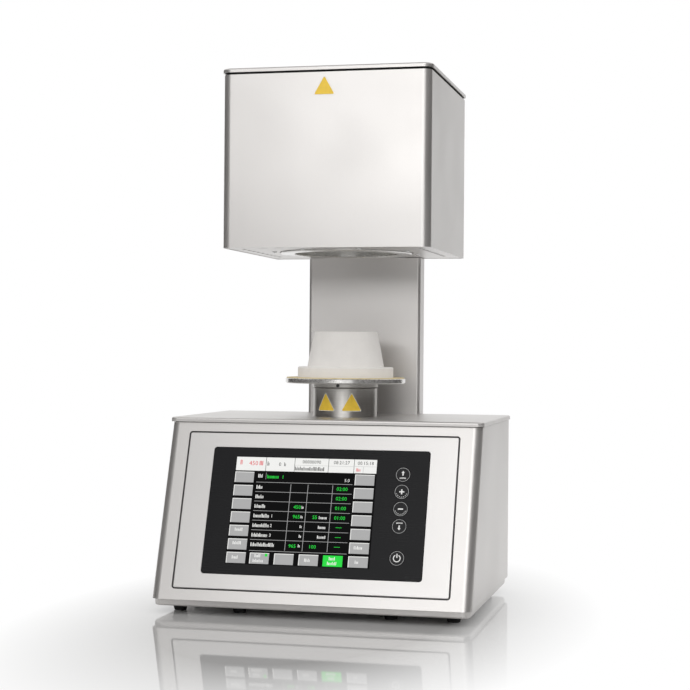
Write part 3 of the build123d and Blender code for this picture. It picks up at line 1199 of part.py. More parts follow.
# ---- mains and cooling -----------------------------------------------------------------------
def mains_inlet():
    """Inlet module: appliance inlet with three blades, a switch well and a fuse drawer front."""
    w, h = INLET_W / 2, INLET_H / 2
    bw, bh = INLET_BODY_W / 2, INLET_BODY_H / 2
    face_y = REAR_Y + INLET_FLANGE_T
    body = block(INLET_X - w, INLET_X + w, REAR_Y, face_y, INLET_Z - h, INLET_Z + h)
    body = chamfer(body.faces().sort_by(Axis.Y)[-1].edges(), INLET_EDGE)
    body += block(INLET_X - bw, INLET_X + bw, REAR_Y - INLET_DEPTH, REAR_Y, INLET_Z - bh, INLET_Z + bh)
    low = INLET_Z - INLET_LOW
    floor_y = face_y - INLET_WELL
    body -= Pos(INLET_X, floor_y, low) * Rot(-90, 0, 0) * extrude(inlet_outline(), INLET_WELL + CUT)
    thick, wide = BLADE_THICK / 2, BLADE_WIDE / 2
    for x, z in ((-7, 2), (7, 2), (0, -3)):
        body += block(INLET_X + x - thick, INLET_X + x + thick, floor_y - 1, face_y - BLADE_SUNK,
                      low + z - wide, low + z + wide)
    body -= rocker_well()
    line = DRAWER_LINE_W / 2
    x0, x1 = INLET_X - DRAWER_W / 2, INLET_X + DRAWER_W / 2
    y0, y1 = face_y - DRAWER_LINE_DEPTH, face_y + 1
    return body - [block(x0, x1, y0, y1, INLET_Z + z - line, INLET_Z + z + line) for z in DRAWER_LINES]


def inlet_outline():
    """Mouth of the appliance inlet: a rectangle with two corners cut."""
    return make_face(Polyline((-12, -8), (12, -8), (12, 4), (8, 8), (-8, 8), (-12, 4), close=True))


def rocker_place():
    """Pivot of the mains rocker."""
    return INLET_X, REAR_Y + INLET_FLANGE_T - ROCKER_SUNK, INLET_Z + ROCKER_UP


def rocker_well():
    """Well of the mains rocker in the inlet module."""
    x, y, z = rocker_place()
    half, deep = ROCKER_WELL / 2, ROCKER_WELL_DEPTH
    return block(x - half, x + half, y - deep, y + deep, z - half, z + half)


def mains_rocker():
    """Rocker of the mains switch with its upper half pressed in, on its pivot pin."""
    tilt = ROCKER_SWING / 2
    reach, rise, deep = ROCKER_REACH, ROCKER_RISE, ROCKER_DEPTH
    tip = rise + reach * math.tan(math.radians(tilt))
    side = make_face(Plane.YZ * Polyline((rise, 0), (tip, reach), (-deep / 2, reach), (-deep, 0),
                                         (-deep / 2, -reach), (tip, -reach), close=True))
    body = Pos(-ROCKER_W / 2, 0, 0) * extrude(side, ROCKER_W, dir=(1, 0, 0))
    pin = Rot(0, 90, 0) * Cylinder(ROCKER_PIN_R, ROCKER_PIN_L)
    return Pos(*rocker_place()) * Rot(tilt, 0, 0) * (body + pin)


def pump_socket():
    """Outlet for the vacuum pump: flanged block with three slots."""
    w, h = SOCKET_W / 2, SOCKET_H / 2
    bw, bh = SOCKET_BODY_W / 2, SOCKET_BODY_H / 2
    y0, y1 = REAR_Y, REAR_Y + SOCKET_FLANGE_T
    body = block(SOCKET_X - w, SOCKET_X + w, y0, y1, SOCKET_Z - h, SOCKET_Z + h)
    body = fillet(body.edges().filter_by(Axis.Y), SOCKET_R)
    body += block(SOCKET_X - bw, SOCKET_X + bw, y0 - SOCKET_DEPTH, y0, SOCKET_Z - bh, SOCKET_Z + bh)
    wide, high = SOCKET_SLOT_W / 2, SOCKET_SLOT_H / 2
    slots = [block(SOCKET_X + x - wide, SOCKET_X + x + wide, y0 - SOCKET_SLOT_DEPTH, y1 + CUT,
                   SOCKET_Z + z - high, SOCKET_Z + z + high) for x, z in ((-7, 2), (7, 2), (0, -4))]
    return body - slots


def fan_frame():
    """Square fan housing with its round duct, four spokes and the motor seat."""
    y1 = REAR_Y - SIDE_SHEET
    y0 = y1 - FAN_DEPTH
    half = FAN_SIZE / 2
    duct_r = half - FAN_WALL
    frame = block(FAN_X - half, FAN_X + half, y0, y1, FAN_Z - half, FAN_Z + half)
    frame = fillet(frame.edges().filter_by(Axis.Y), FAN_CORNER_R)
    frame -= along_y(FAN_X, FAN_Z, y0 - CUT, y1 + CUT, duct_r)
    seat = along_y(FAN_X, FAN_Z, y0, y0 + FAN_SEAT_T, FAN_HUB_R)
    length = duct_r + 1 - FAN_HUB_R + FAN_WALL
    middle = Pos(FAN_HUB_R - FAN_WALL + length / 2, 0, 0)
    for turn in range(FAN_SPOKES):
        spin = Rot(0, 45 + 360 / FAN_SPOKES * turn, 0)
        spoke = middle * Box(length, FAN_SEAT_T, FAN_SEAT_T)
        seat += Pos(FAN_X, y0 + FAN_SEAT_T / 2, FAN_Z) * spin * spoke
    return frame + (seat - along_y(FAN_X, FAN_Z, y0 - CUT, y0 + CUT, FAN_SHAFT_R + RUN))


def fan_rotor():
    """Fan rotor: hub, shaft and twisted blades."""
    y0 = REAR_Y - SIDE_SHEET - FAN_DEPTH
    hub_y = y0 + FAN_SEAT_T + 1
    rotor = along_y(FAN_X, FAN_Z, hub_y, hub_y + FAN_HUB_L, FAN_HUB_R)
    rotor += along_y(FAN_X, FAN_Z, y0 - 1, hub_y + 1, FAN_SHAFT_R)
    root_r, tip_r = FAN_HUB_R - 2, FAN_SIZE / 2 - FAN_WALL - FAN_TIP_GAP
    place = Pos(FAN_X, hub_y + FAN_HUB_L / 2, FAN_Z)

    def across(radius, turn, width, thick):
        return Plane(origin=(radius, 0, 0), x_dir=(0, 1, 0), z_dir=(1, 0, 0)) * Rot(0, 0, turn) \
            * Rectangle(width, thick)

    blade = loft([across(root_r, BLADE_ROOT_TURN, BLADE_ROOT_W, BLADE_ROOT_T),
                  across(tip_r, BLADE_TIP_TURN, BLADE_TIP_W, BLADE_TIP_T)])
    for index in range(FAN_BLADES):
        rotor += place * Rot(0, 360 / FAN_BLADES * index, 0) * blade
    return rotor


def control_board():
    """Main circuit board on spacers with its relays, capacitors and connector."""
    x0, x1 = -HALF_W + BOARD_SIDE, -GUIDE_ROD_X - BOARD_LIFT_GAP
    y0, y1 = LIFT_Y - BOARD_FRONT, LIFT_Y + BOARD_REAR
    z0 = PAN_FLOOR_Z + BOARD_UP
    z1 = z0 + BOARD_T
    board = block(x0, x1, y0, y1, z0, z1)
    for x in (x0 + SPACER_EDGE, x1 - SPACER_EDGE):
        for y in (y0 + SPACER_EDGE, y1 - SPACER_EDGE):
            board += rod(x, y, PAN_FLOOR_Z, z0, SPACER_R)
    left, front = x0 + 2 * SPACER_EDGE + 2, y0 + 2 * SPACER_EDGE + 4
    for row in range(RELAYS):
        y = front + RELAY_PITCH * row
        board += block(left, left + RELAY_W, y, y + RELAY_L, z1, z1 + RELAY_H)
    for row in range(CAPACITORS):
        y = front + 12 + CAPACITOR_PITCH * row
        board += rod(x1 - 2 * CAPACITOR_R - 2, y, z1, z1 + CAPACITOR_H, CAPACITOR_R)
    return board + block(left + RELAY_W + 12, x1 - 12, y1 - 34, y1 - 14, z1, z1 + 10)


def heater_transformer():
    """Ring transformer of the heating muffle with its clamping dish and bolt."""
    x, y = HALF_W - CORE_X, LIFT_Y - CORE_FRONT
    z0, z1 = PAN_FLOOR_Z, PAN_FLOOR_Z + CORE_H
    outer, inner, bend = CORE_R, CORE_HOLE_R, CORE_ROUND
    core = turned([(DISH_R, z0), (outer - bend, z0), (outer, z0 + bend), (outer, z1 - bend),
                   (outer - bend, z1), (inner + bend, z1), (inner, z1 - bend),
                   (inner, z0 + DISH_H), (DISH_R, z0 + DISH_H)], x, y)
    dish = [(0, z0), (DISH_R, z0), (DISH_R, z0 + DISH_H), (BOLT_R, z0 + DISH_H), (BOLT_R, z0 + BOLT_H),
            (0, z0 + BOLT_H)]
    return core + turned(dish, x, y)


# ---- write one file for each piece -----------------------------------------------------------
def pieces():
    """Every piece of the furnace by its node name."""
    made = {
        "feet": feet(),
        "base_pan": base_pan(),
        "fascia": fascia(),
        "control_plate": control_plate(),
        "display_bezel": display_bezel(),
        "touch_screen": touch_screen(),
        "key_board": key_board(),
        "display_housing": display_housing(),
        "side_panel_left": side_panel(-1),
        "side_panel_right": side_panel(1),
        "rear_panel": rear_panel(),
        "base_lid": base_lid(),
        "base_lid_seal": base_lid_seal(),
        "lift_bridge": lift_bridge(),
        "lift_top_plate": lift_top_plate(),
        "guide_rods": guide_rods(),
        "carriage": carriage(),
        "carriage_bushes": carriage_bushes(),
        "lead_nut": lead_nut(),
        "lead_screw": lead_screw(),
        "screw_bearing": screw_bearing(),
        "screw_pulley": screw_pulley(),
        "motor_pulley": motor_pulley(),
        "drive_belt": drive_belt(),
        "lift_motor": lift_motor(),
        "collar": collar(),
        "collar_bush": collar_bush(),
        "lift_tube": lift_tube(),
        "hub_screw": hub_screw(),
        "sealing_plate": sealing_plate(),
        "plate_gasket": plate_gasket(),
        "firing_plug": firing_plug(),
        "column_post": column_post(),
        "column_cover": column_cover(),
        "column_rear_cover": column_rear_cover(),
        "head_floor": head_floor(),
        "head_shell": head_shell(),
        "head_rear_panel": head_rear_panel(),
        "head_lid": head_lid(),
        "head_lid_seal": head_lid_seal(),
        "chamber_flange": chamber_flange(),
        "vacuum_bell": vacuum_bell(),
        "chamber_insulation": chamber_insulation(),
        "heating_muffle": heating_muffle(),
        "thermocouple": thermocouple(),
        "heater_terminals": heater_terminals(),
        "vacuum_hose": vacuum_hose(),
        "vacuum_valve": vacuum_valve(),
        "mains_inlet": mains_inlet(),
        "mains_rocker": mains_rocker(),
        "pump_socket": pump_socket(),
        "fan_frame": fan_frame(),
        "fan_rotor": fan_rotor(),
        "control_board": control_board(),
        "heater_transformer": heater_transformer(),
    }
    for name, s in key_places().items():
        made[name] = key(s)
    return made


os.makedirs("parts", exist_ok=True)
print("lift travel", round(LIFT_TRAVEL, 3), "screw turns", round(LIFT_TRAVEL / SCREW_LEAD, 3))
print("front", round(FRONT_Y, 3), "rear", round(REAR_Y, 3), "lift axis y", round(LIFT_Y, 3))
for node, shape in pieces().items():
    export_step(shape, f"parts/{node}.step")
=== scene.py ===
"""Dental laboratory furnace with a lift table: its finishes, markings and small parts.

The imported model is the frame. Everything here is in its frame and in metres: +Z is up, +Y is towards
the rear and +X is to the right of someone facing the leaning front. Sizes held by the classes are in
millimetres, as on a drawing, and MM turns them into metres.
"""

import json
import logging
import math
from collections.abc import Sequence
from dataclasses import dataclass, field
from enum import Enum
from functools import cache

import bpy
import numpy as np
from mathutils import Matrix, Vector

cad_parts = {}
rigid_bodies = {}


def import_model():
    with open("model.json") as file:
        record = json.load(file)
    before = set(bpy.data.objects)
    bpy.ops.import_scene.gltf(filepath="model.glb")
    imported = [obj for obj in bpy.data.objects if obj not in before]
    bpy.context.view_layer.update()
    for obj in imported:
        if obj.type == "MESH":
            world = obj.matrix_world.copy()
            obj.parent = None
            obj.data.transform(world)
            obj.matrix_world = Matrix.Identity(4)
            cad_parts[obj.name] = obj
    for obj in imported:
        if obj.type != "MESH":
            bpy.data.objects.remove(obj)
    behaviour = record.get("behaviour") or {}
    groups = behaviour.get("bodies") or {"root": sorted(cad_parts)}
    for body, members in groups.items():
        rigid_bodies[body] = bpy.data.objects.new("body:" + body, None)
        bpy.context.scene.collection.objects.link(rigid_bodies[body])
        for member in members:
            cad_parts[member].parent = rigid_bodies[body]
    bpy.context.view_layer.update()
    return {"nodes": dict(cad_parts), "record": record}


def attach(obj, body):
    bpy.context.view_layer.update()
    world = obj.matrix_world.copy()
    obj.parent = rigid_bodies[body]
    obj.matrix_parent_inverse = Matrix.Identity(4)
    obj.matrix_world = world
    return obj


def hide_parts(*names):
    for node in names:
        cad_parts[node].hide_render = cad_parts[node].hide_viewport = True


LOG = logging.getLogger("furnace")
MM = 0.001
LIFT_Y = 21.1  # axis of the lift, behind the middle
Colour = tuple[float, float, float]


# ---- surfaces ---------------------------------------------------------------------------------
@dataclass(frozen=True)
class Place:
    """A place to build at: an origin in millimetres and three axes at right angles."""

    origin: tuple[float, float, float] = (0.0, 0.0, 0.0)
    across: tuple[float, float, float] = (1.0, 0.0, 0.0)
    along: tuple[float, float, float] = (0.0, 1.0, 0.0)

    def put(self, points: np.ndarray) -> np.ndarray:
        """Carry points to this place: origin + x * across + y * along + z * (across x along).

        Args:
            points: Array whose last axis is x, y, z in millimetres.

        Returns:
            The same points in the frame of the furnace, in millimetres.
        """
        axes = np.array([self.across, self.along, np.cross(self.across, self.along)])
        return points @ axes + np.array(self.origin)


@dataclass
class Surface:
    """Points and faces of a mesh in the making, in millimetres."""

    points: np.ndarray
    faces: list[np.ndarray]

    def at(self, place: Place) -> "Surface":
        """Return the surface carried to a place."""
        return Surface(place.put(self.points), self.faces)

    def moved(self, x: float = 0.0, y: float = 0.0, z: float = 0.0) -> "Surface":
        """Return the surface shifted."""
        return Surface(self.points + np.array([x, y, z]), self.faces)

    def copies(self, places: np.ndarray) -> "Surface":
        """Repeat the surface at many offsets.

        Args:
            places: Array of offsets, one row of x, y, z for each copy.

        Returns:
            One surface with all the copies.
        """
        count, size = len(places), len(self.points)
        points = (places[:, None, :] + self.points[None, :, :]).reshape(-1, 3)
        step = np.arange(count)[:, None, None] * size
        faces = [(block[None] + step).reshape(-1, block.shape[1]) for block in self.faces]
        return Surface(points, faces)


def joined(*surfaces: Surface) -> Surface:
    """Return one surface that holds all the given ones."""
    points, faces, start = [], [], 0
    for surface in surfaces:
        points.append(surface.points)
        faces += [block + start for block in surface.faces]
        start += len(surface.points)
    return Surface(np.concatenate(points), faces)


def net(rows: int, columns: int, loop_rows: bool = False, loop_columns: bool = True) -> np.ndarray:
    """Return the quads of a grid of points that are numbered row by row.

    Args:
        rows: Number of rows of points.
        columns: Number of points in a row.
        loop_rows: Whether the last row joins the first.
        loop_columns: Whether the last point of a row joins its first.

    Returns:
        Array of four point numbers for each quad.
    """
    i = np.arange(rows if loop_rows else rows - 1)[:, None]
    j = np.arange(columns if loop_columns else columns - 1)[None, :]
    low, high = i * columns, (i + 1) % rows * columns
    near, far = j, (j + 1) % columns
    return np.stack([low + near, low + far, high + far, high + near], -1).reshape(-1, 4)


def capped(grid: np.ndarray) -> Surface:
    """Close a tube-like grid of points at both ends.

    Each end row gets one middle point, the mean of the row, joined to it by a fan.

    Args:
        grid: Array of rows x columns x 3. Rows run from the lower end to the upper one, columns run
            anticlockwise seen from above.

    Returns:
        The closed surface.
    """
    rows, columns = grid.shape[:2]
    middles = grid[[0, -1]].mean(axis=1)
    points = np.concatenate([grid.reshape(-1, 3), middles])
    j = np.arange(columns)
    far, low, top = (j + 1) % columns, rows * columns, (rows - 1) * columns
    under = np.stack([np.full(columns, low), far, j], -1)
    over = np.stack([np.full(columns, low + 1), top + j, top + far], -1)
    return Surface(points, [net(rows, columns), under, over])


def turned(profile: Sequence[tuple[float, float]], sides: int = 48, loop: bool = False,
           shape: np.ndarray | None = None) -> Surface:
    """Turn a profile about the z axis: point = (r cos a, r sin a, h).

    Args:
        profile: Radius and height pairs, from the lower middle outwards and up to the upper middle.
        sides: Points round the axis.
        loop: Whether the profile closes on itself, as in a ring.
        shape: Factor on the radius, profile points x sides, for sockets and flats.

    Returns:
        The closed surface.
    """
    radius, height = np.array(profile, float).T
    angle = np.linspace(0, 2 * math.pi, sides, endpoint=False)
    reach = radius[:, None] * (np.ones((len(radius), sides)) if shape is None else shape)
    grid = np.stack([reach * np.cos(angle), reach * np.sin(angle),
                     np.repeat(height[:, None], sides, 1)], -1)
    if loop:
        return Surface(grid.reshape(-1, 3), [net(*grid.shape[:2], loop_rows=True)])
    return capped(grid)


def flange_ring(outer: float, inner: float, low: float, high: float, sides: int = 64) -> Surface:
    """Return a flat ring: a rectangle turned about the z axis."""
    return turned([(inner, low), (outer, low), (outer, high), (inner, high)], sides, loop=True)


def slab(outline: np.ndarray, low: float, high: float, bevel: float = 0.0) -> Surface:
    """Raise an outline into a plate whose upper edge may be bevelled.

    Rows of the grid are the outline at the foot, at the foot of the bevel and, drawn in towards the
    outline's own inside by the bevel, at the top. Both ends are one flat face.

    Args:
        outline: Array of x, y points, anticlockwise.
        low: Height of the foot.
        high: Height of the top.
        bevel: Width and height of the bevel.

    Returns:
        The closed surface.
    """
    count = len(outline)
    before, after = np.roll(outline, 1, 0), np.roll(outline, -1, 0)
    run = after - before
    inward = np.stack([-run[:, 1], run[:, 0]], -1) / np.linalg.norm(run, axis=1)[:, None]
    rows = [(0.0, low), (0.0, high - bevel), (bevel, high)] if bevel else [(0.0, low), (0.0, high)]
    points = np.concatenate([np.column_stack([outline + inward * inset, np.full(count, z)])
                             for inset, z in rows])
    ends = [np.arange(count)[::-1][None, :], np.arange(count)[None, :] + count * (len(rows) - 1)]
    return Surface(points, [net(len(rows), count), *ends])


def plates(x0: np.ndarray, x1: np.ndarray, y0: np.ndarray, y1: np.ndarray, low: float, high: float,
           bevel: float = 0.0) -> Surface:
    """Return many rectangular plates at once, each an eight-cornered block with a narrower top.

    Args:
        x0: Left edges.
        x1: Right edges.
        y0: Lower edges.
        y1: Upper edges.
        low: Height of the feet.
        high: Height of the tops.
        bevel: How far each top edge is drawn in.

    Returns:
        The closed surfaces as one.
    """
    x0, x1, y0, y1 = (np.atleast_1d(np.asarray(v, float)) for v in (x0, x1, y0, y1))
    x0, x1, y0, y1 = np.broadcast_arrays(x0, x1, y0, y1)
    corners = np.array([[0, 0], [1, 0], [1, 1], [0, 1]])
    blocks = []
    for inset, z in ((0.0, low), (bevel, high)):
        x = np.where(corners[None, :, 0] == 1, (x1 - inset)[:, None], (x0 + inset)[:, None])
        y = np.where(corners[None, :, 1] == 1, (y1 - inset)[:, None], (y0 + inset)[:, None])
        blocks.append(np.stack([x, y, np.full_like(x, z)], -1))
    points = np.concatenate(blocks, axis=1).reshape(-1, 3)
    quads = np.array([[3, 2, 1, 0], [4, 5, 6, 7], [0, 1, 5, 4], [1, 2, 6, 5], [2, 3, 7, 6], [3, 0, 4, 7]])
    faces = (quads[None] + 8 * np.arange(len(x0))[:, None, None]).reshape(-1, 4)
    return Surface(points, [faces])


def arc(radius: float, start: float, end: float, count: int, x: float = 0.0, y: float = 0.0) -> np.ndarray:
    """Return count points on an arc about x, y from one angle to another, in degrees."""
    angle = np.radians(np.linspace(start, end, count))
    return np.stack([x + radius * np.cos(angle), y + radius * np.sin(angle)], -1)


def rounded_outline(corners: Sequence[tuple[float, float]], radius: float, steps: int = 5) -> np.ndarray:
    """Round the corners of an outline with arcs.

    Each arc's middle lies on the bisector of its corner, radius / sin(half the corner's angle) away.

    Args:
        corners: Corners, anticlockwise, all of them convex.
        radius: Radius of the arcs.
        steps: Points on each arc.

    Returns:
        Array of x, y points, anticlockwise.
    """
    corner = np.array(corners, float)
    back, ahead = np.roll(corner, 1, 0) - corner, np.roll(corner, -1, 0) - corner
    back /= np.linalg.norm(back, axis=1)[:, None]
    ahead /= np.linalg.norm(ahead, axis=1)[:, None]
    half = np.arccos(np.clip((back * ahead).sum(1), -1, 1)) / 2
    bisector = (back + ahead) / np.linalg.norm(back + ahead, axis=1)[:, None]
    middle = corner + bisector * (radius / np.sin(half))[:, None]
    facing = np.arctan2(-bisector[:, 1], -bisector[:, 0])
    sweep = (math.pi / 2 - half)[:, None] * np.linspace(-1, 1, steps)[None, :]
    angle = facing[:, None] + sweep
    points = middle[:, None, :] + radius * np.stack([np.cos(angle), np.sin(angle)], -1)
    return points.reshape(-1, 2)


def tube(path: np.ndarray, radius: float, sides: int = 12) -> Surface:
    """Carry a circle along a path.

    The circle stands square to the path's direction, on two axes kept level with +Z where they can be.

    Args:
        path: Array of points in millimetres.
        radius: Radius of the tube.
        sides: Points round the tube.

    Returns:
        The closed surface.
    """
    ahead = np.gradient(path, axis=0)
    ahead /= np.linalg.norm(ahead, axis=1)[:, None]
    upright = np.where(np.abs(ahead[:, 2:3]) > 0.9, [[1.0, 0.0, 0.0]], [[0.0, 0.0, 1.0]])
    side = np.cross(upright, ahead)
    side /= np.linalg.norm(side, axis=1)[:, None]
    over = np.cross(ahead, side)
    angle = np.linspace(0, 2 * math.pi, sides, endpoint=False)[None, :, None]
    grid = path[:, None] + radius * (np.cos(angle) * side[:, None] + np.sin(angle) * over[:, None])
    return capped(grid)


class Shading(Enum):
    """How the faces of a piece are shaded."""

    FLAT = "flat"
    SMOOTH = "smooth"
    BY_ANGLE = "by_angle"


@dataclass(frozen=True)
class Part:
    """How a finished surface becomes a piece of the furnace."""

    name: str
    body: str
    slot: str
    shading: Shading = Shading.FLAT
    sharp: float = 35.0
    replaces: tuple[str, ...] = ()

    def make(self, surface: Surface, finish: "Finish") -> bpy.types.Object:
        """Put the surface into a mesh and let it ride on its body.

        Args:
            surface: The surface, in the frame of the furnace, in millimetres.
            finish: The finish that it gets.

        Returns:
            The new object, which sits at the origin.
        """
        mesh = bpy.data.meshes.new(self.name)
        faces = [face for block in surface.faces for face in block.tolist()]
        mesh.from_pydata((surface.points * MM).tolist(), [], faces)
        mesh.validate()
        if self.shading is not Shading.FLAT:
            mesh.shade_smooth()
        if self.shading is Shading.BY_ANGLE:
            mesh.set_sharp_from_angle(angle=math.radians(self.sharp))
        mesh.materials.append(finish.material())
        piece = bpy.data.objects.new(self.name, mesh)
        bpy.context.scene.collection.objects.link(piece)
        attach(piece, self.body)
        if self.replaces:
            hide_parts(*self.replaces)
        LOG.info("%s: %d faces on %s", self.name, len(mesh.polygons), self.body)
        return piece


# ---- finishes ---------------------------------------------------------------------------------
class Tree:
    """The node tree of one finish, with short calls for the nodes that the finishes share."""

    def __init__(self, name: str) -> None:
        """Start a material with an empty surface shader."""
        self.material = bpy.data.materials.new(name)
        self.material.use_nodes = True
        self.nodes = self.material.node_tree.nodes
        self.links = self.material.node_tree.links
        self.shader = self.nodes["Principled BSDF"]
        self.place = self.nodes.new("ShaderNodeTexCoord").outputs["Object"]

    def set(self, **values: float | Colour) -> None:
        """Set sockets of the shader to values that are the same all over.

        Args:
            values: Socket names with _ for a space, and their values.
        """
        for name, value in values.items():
            socket = self.shader.inputs[name.replace("_", " ")]
            socket.default_value = (*value, 1.0) if isinstance(value, tuple) else value

    def feed(self, name: str, source: bpy.types.NodeSocket) -> None:
        """Link a varying value or colour to a socket of the shader."""
        self.links.new(source, self.shader.inputs[name])

    def stretched(self, x: float, y: float, z: float, source: bpy.types.NodeSocket | None = None,
                  turn: float = 0.0) -> bpy.types.NodeSocket:
        """Return the coordinates scaled by x, y, z, after a turn about the X axis in degrees."""
        mapping = self.nodes.new("ShaderNodeMapping")
        mapping.inputs["Scale"].default_value = (x, y, z)
        if turn:
            first = self.nodes.new("ShaderNodeMapping")
            first.inputs["Rotation"].default_value = (math.radians(turn), 0.0, 0.0)
            self.links.new(source or self.place, first.inputs["Vector"])
            source = first.outputs["Vector"]
        self.links.new(source or self.place, mapping.inputs["Vector"])
        return mapping.outputs["Vector"]

    def noise(self, scale: float, detail: float = 2.0, rough: float = 0.5,
              source: bpy.types.NodeSocket | None = None) -> bpy.types.NodeSocket:
        """Return smooth noise of scale features a metre."""
        node = self.nodes.new("ShaderNodeTexNoise")
        node.inputs["Scale"].default_value = scale
        node.inputs["Detail"].default_value = detail
        node.inputs["Roughness"].default_value = rough
        self.links.new(source or self.place, node.inputs["Vector"])
        return node.outputs["Fac"]

    def cells(self, scale: float, feature: str = "F1", output: str = "Distance",
              source: bpy.types.NodeSocket | None = None) -> bpy.types.NodeSocket:
        """Return a cell pattern of scale cells a metre."""
        node = self.nodes.new("ShaderNodeTexVoronoi")
        node.feature = feature
        node.inputs["Scale"].default_value = scale
        self.links.new(source or self.place, node.inputs["Vector"])
        return node.outputs[output]

    def calc(self, operation: str, a: bpy.types.NodeSocket, b: bpy.types.NodeSocket | float = 0.0
             ) -> bpy.types.NodeSocket:
        """Return a math node's result on one or two values."""
        node = self.nodes.new("ShaderNodeMath")
        node.operation = operation
        for socket, value in zip(node.inputs, (a, b)):
            if isinstance(value, (int, float)):
                socket.default_value = value
            else:
                self.links.new(value, socket)
        return node.outputs[0]

    def span(self, source: bpy.types.NodeSocket, low: float, high: float, start: float = 0.3,
             end: float = 0.7) -> bpy.types.NodeSocket:
        """Return a value that goes from low to high as the source goes from start to end."""
        node = self.nodes.new("ShaderNodeMapRange")
        for name, value in (("From Min", start), ("From Max", end), ("To Min", low), ("To Max", high)):
            node.inputs[name].default_value = value
        self.links.new(source, node.inputs["Value"])
        return node.outputs["Result"]

    def blend(self, source: bpy.types.NodeSocket, *stops: tuple[float, Colour]) -> bpy.types.NodeSocket:
        """Return a colour that runs through the stops as the source goes from 0 to 1."""
        node = self.nodes.new("ShaderNodeValToRGB")
        ramp = node.color_ramp
        for _ in stops[2:]:
            ramp.elements.new(0.5)
        for element, (position, colour) in zip(ramp.elements, stops):
            element.position = position
            element.color = (*colour, 1.0)
        self.links.new(source, node.inputs["Fac"])
        return node.outputs["Color"]

    def relief(self, *layers: tuple[bpy.types.NodeSocket, float]) -> None:
        """Feed the shader's normal with layers of relief.

        Args:
            layers: Pairs of a height from 0 to 1 and the depth that it stands for, in millimetres.
        """
        last = None
        for height, depth in layers:
            node = self.nodes.new("ShaderNodeBump")
            node.inputs["Distance"].default_value = depth * MM
            self.links.new(height, node.inputs["Height"])
            if last:
                self.links.new(last, node.inputs["Normal"])
            last = node.outputs["Normal"]
        self.feed("Normal", last)

    def radius(self) -> bpy.types.NodeSocket:
        """Return the distance from the axis of the lift, plus the height, in metres."""
        split = self.nodes.new("ShaderNodeSeparateXYZ")
        self.links.new(self.place, split.inputs[0])
        y = self.calc("SUBTRACT", split.outputs[1], LIFT_Y * MM)
        square = self.calc("ADD", self.calc("MULTIPLY", split.outputs[0], split.outputs[0]),
                           self.calc("MULTIPLY", y, y))
        return self.calc("ADD", self.calc("SQRT", square), split.outputs[2])

    def line_noise(self, source: bpy.types.NodeSocket, scale: float) -> bpy.types.NodeSocket:
        """Return noise along one value, for turned rings."""
        node = self.nodes.new("ShaderNodeTexNoise")
        node.noise_dimensions = "1D"
        node.inputs["Scale"].default_value = scale
        node.inputs["Detail"].default_value = 3.0
        self.links.new(source, node.inputs["W"])
        return node.outputs["Fac"]


def shade(colour: Colour, factor: float) -> Colour:
    """Return a colour made lighter or darker by a factor."""
    return tuple(min(1.0, channel * factor) for channel in colour)


@dataclass(frozen=True)
class Finish:
    """A finish with its own grain. Each is made into a material once."""

    name: str
    colour: Colour
    rough: float
    metal: float = 0.0
    gloss: float = 0.5

    @cache
    def material(self) -> bpy.types.Material:
        """Return the material of this finish, made the first time that it is asked for."""
        tree = Tree(self.name)
        tree.set(Base_Color=self.colour, Roughness=self.rough, Metallic=self.metal,
                 Specular_IOR_Level=self.gloss)
        self.grain(tree)
        return tree.material

    def grain(self, tree: Tree) -> None:
        """Add colour variation, roughness and relief to the tree."""
        raise NotImplementedError


@dataclass(frozen=True)
class SilverCoat(Finish):
    """Silver lacquer on sheet: fine metal flake under a faint orange peel, with slight cloudiness."""

    flake: float = 5200.0

    def grain(self, tree: Tree) -> None:
        """Flakes tint the colour, clouds and flakes turn the roughness, peel and flakes give relief."""
        flakes = tree.noise(self.flake, 1.0)
        clouds = tree.noise(9.0, 3.0)
        tree.feed("Base Color", tree.blend(flakes, (0.3, shade(self.colour, 0.93)),
                                           (0.7, shade(self.colour, 1.05))))
        both = tree.calc("ADD", tree.calc("MULTIPLY", flakes, 0.4), tree.calc("MULTIPLY", clouds, 0.6))
        tree.feed("Roughness", tree.span(both, self.rough - 0.05, self.rough + 0.05))
        tree.relief((tree.noise(420.0, 2.0), 0.004), (flakes, 0.002))


@dataclass(frozen=True)
class TurnedMetal(Finish):
    """Metal turned on a lathe about the lift's axis: fine rings, and short marks across them."""

    pitch: float = 2600.0
    depth: float = 0.006
    drawn: float = 0.85  # how far the rings draw out a reflection across themselves

    def grain(self, tree: Tree) -> None:
        """Rings follow the distance from the axis plus the height, so they lie on sides and ends."""
        tree.set(Anisotropic=self.drawn, Anisotropic_Rotation=0.25)
        rings = tree.line_noise(tree.radius(), self.pitch)
        marks = tree.noise(380.0, 4.0, 0.6)
        tree.feed("Base Color", tree.blend(rings, (0.3, shade(self.colour, 0.86)),
                                           (0.7, shade(self.colour, 1.06))))
        both = tree.calc("ADD", tree.calc("MULTIPLY", rings, 0.7), tree.calc("MULTIPLY", marks, 0.3))
        tree.feed("Roughness", tree.span(both, self.rough - 0.07, self.rough + 0.09))
        tree.relief((rings, self.depth))


@dataclass(frozen=True)
class DrawnMetal(Finish):
    """Drawn or ground metal: long fine scratches along one axis."""

    stretch: tuple[float, float, float] = (1.0, 1.0, 0.02)
    scratches: float = 3200.0

    def grain(self, tree: Tree) -> None:
        """Noise drawn out along the axis tints, roughens and scores the surface."""
        lines = tree.noise(self.scratches, 3.0, 0.6, tree.stretched(*self.stretch))
        stains = tree.noise(60.0, 4.0, 0.6)
        tree.feed("Base Color", tree.blend(lines, (0.3, shade(self.colour, 0.85)),
                                           (0.7, shade(self.colour, 1.08))))
        both = tree.calc("ADD", tree.calc("MULTIPLY", lines, 0.5), tree.calc("MULTIPLY", stains, 0.5))
        tree.feed("Roughness", tree.span(both, self.rough - 0.08, self.rough + 0.1))
        tree.relief((lines, 0.006))


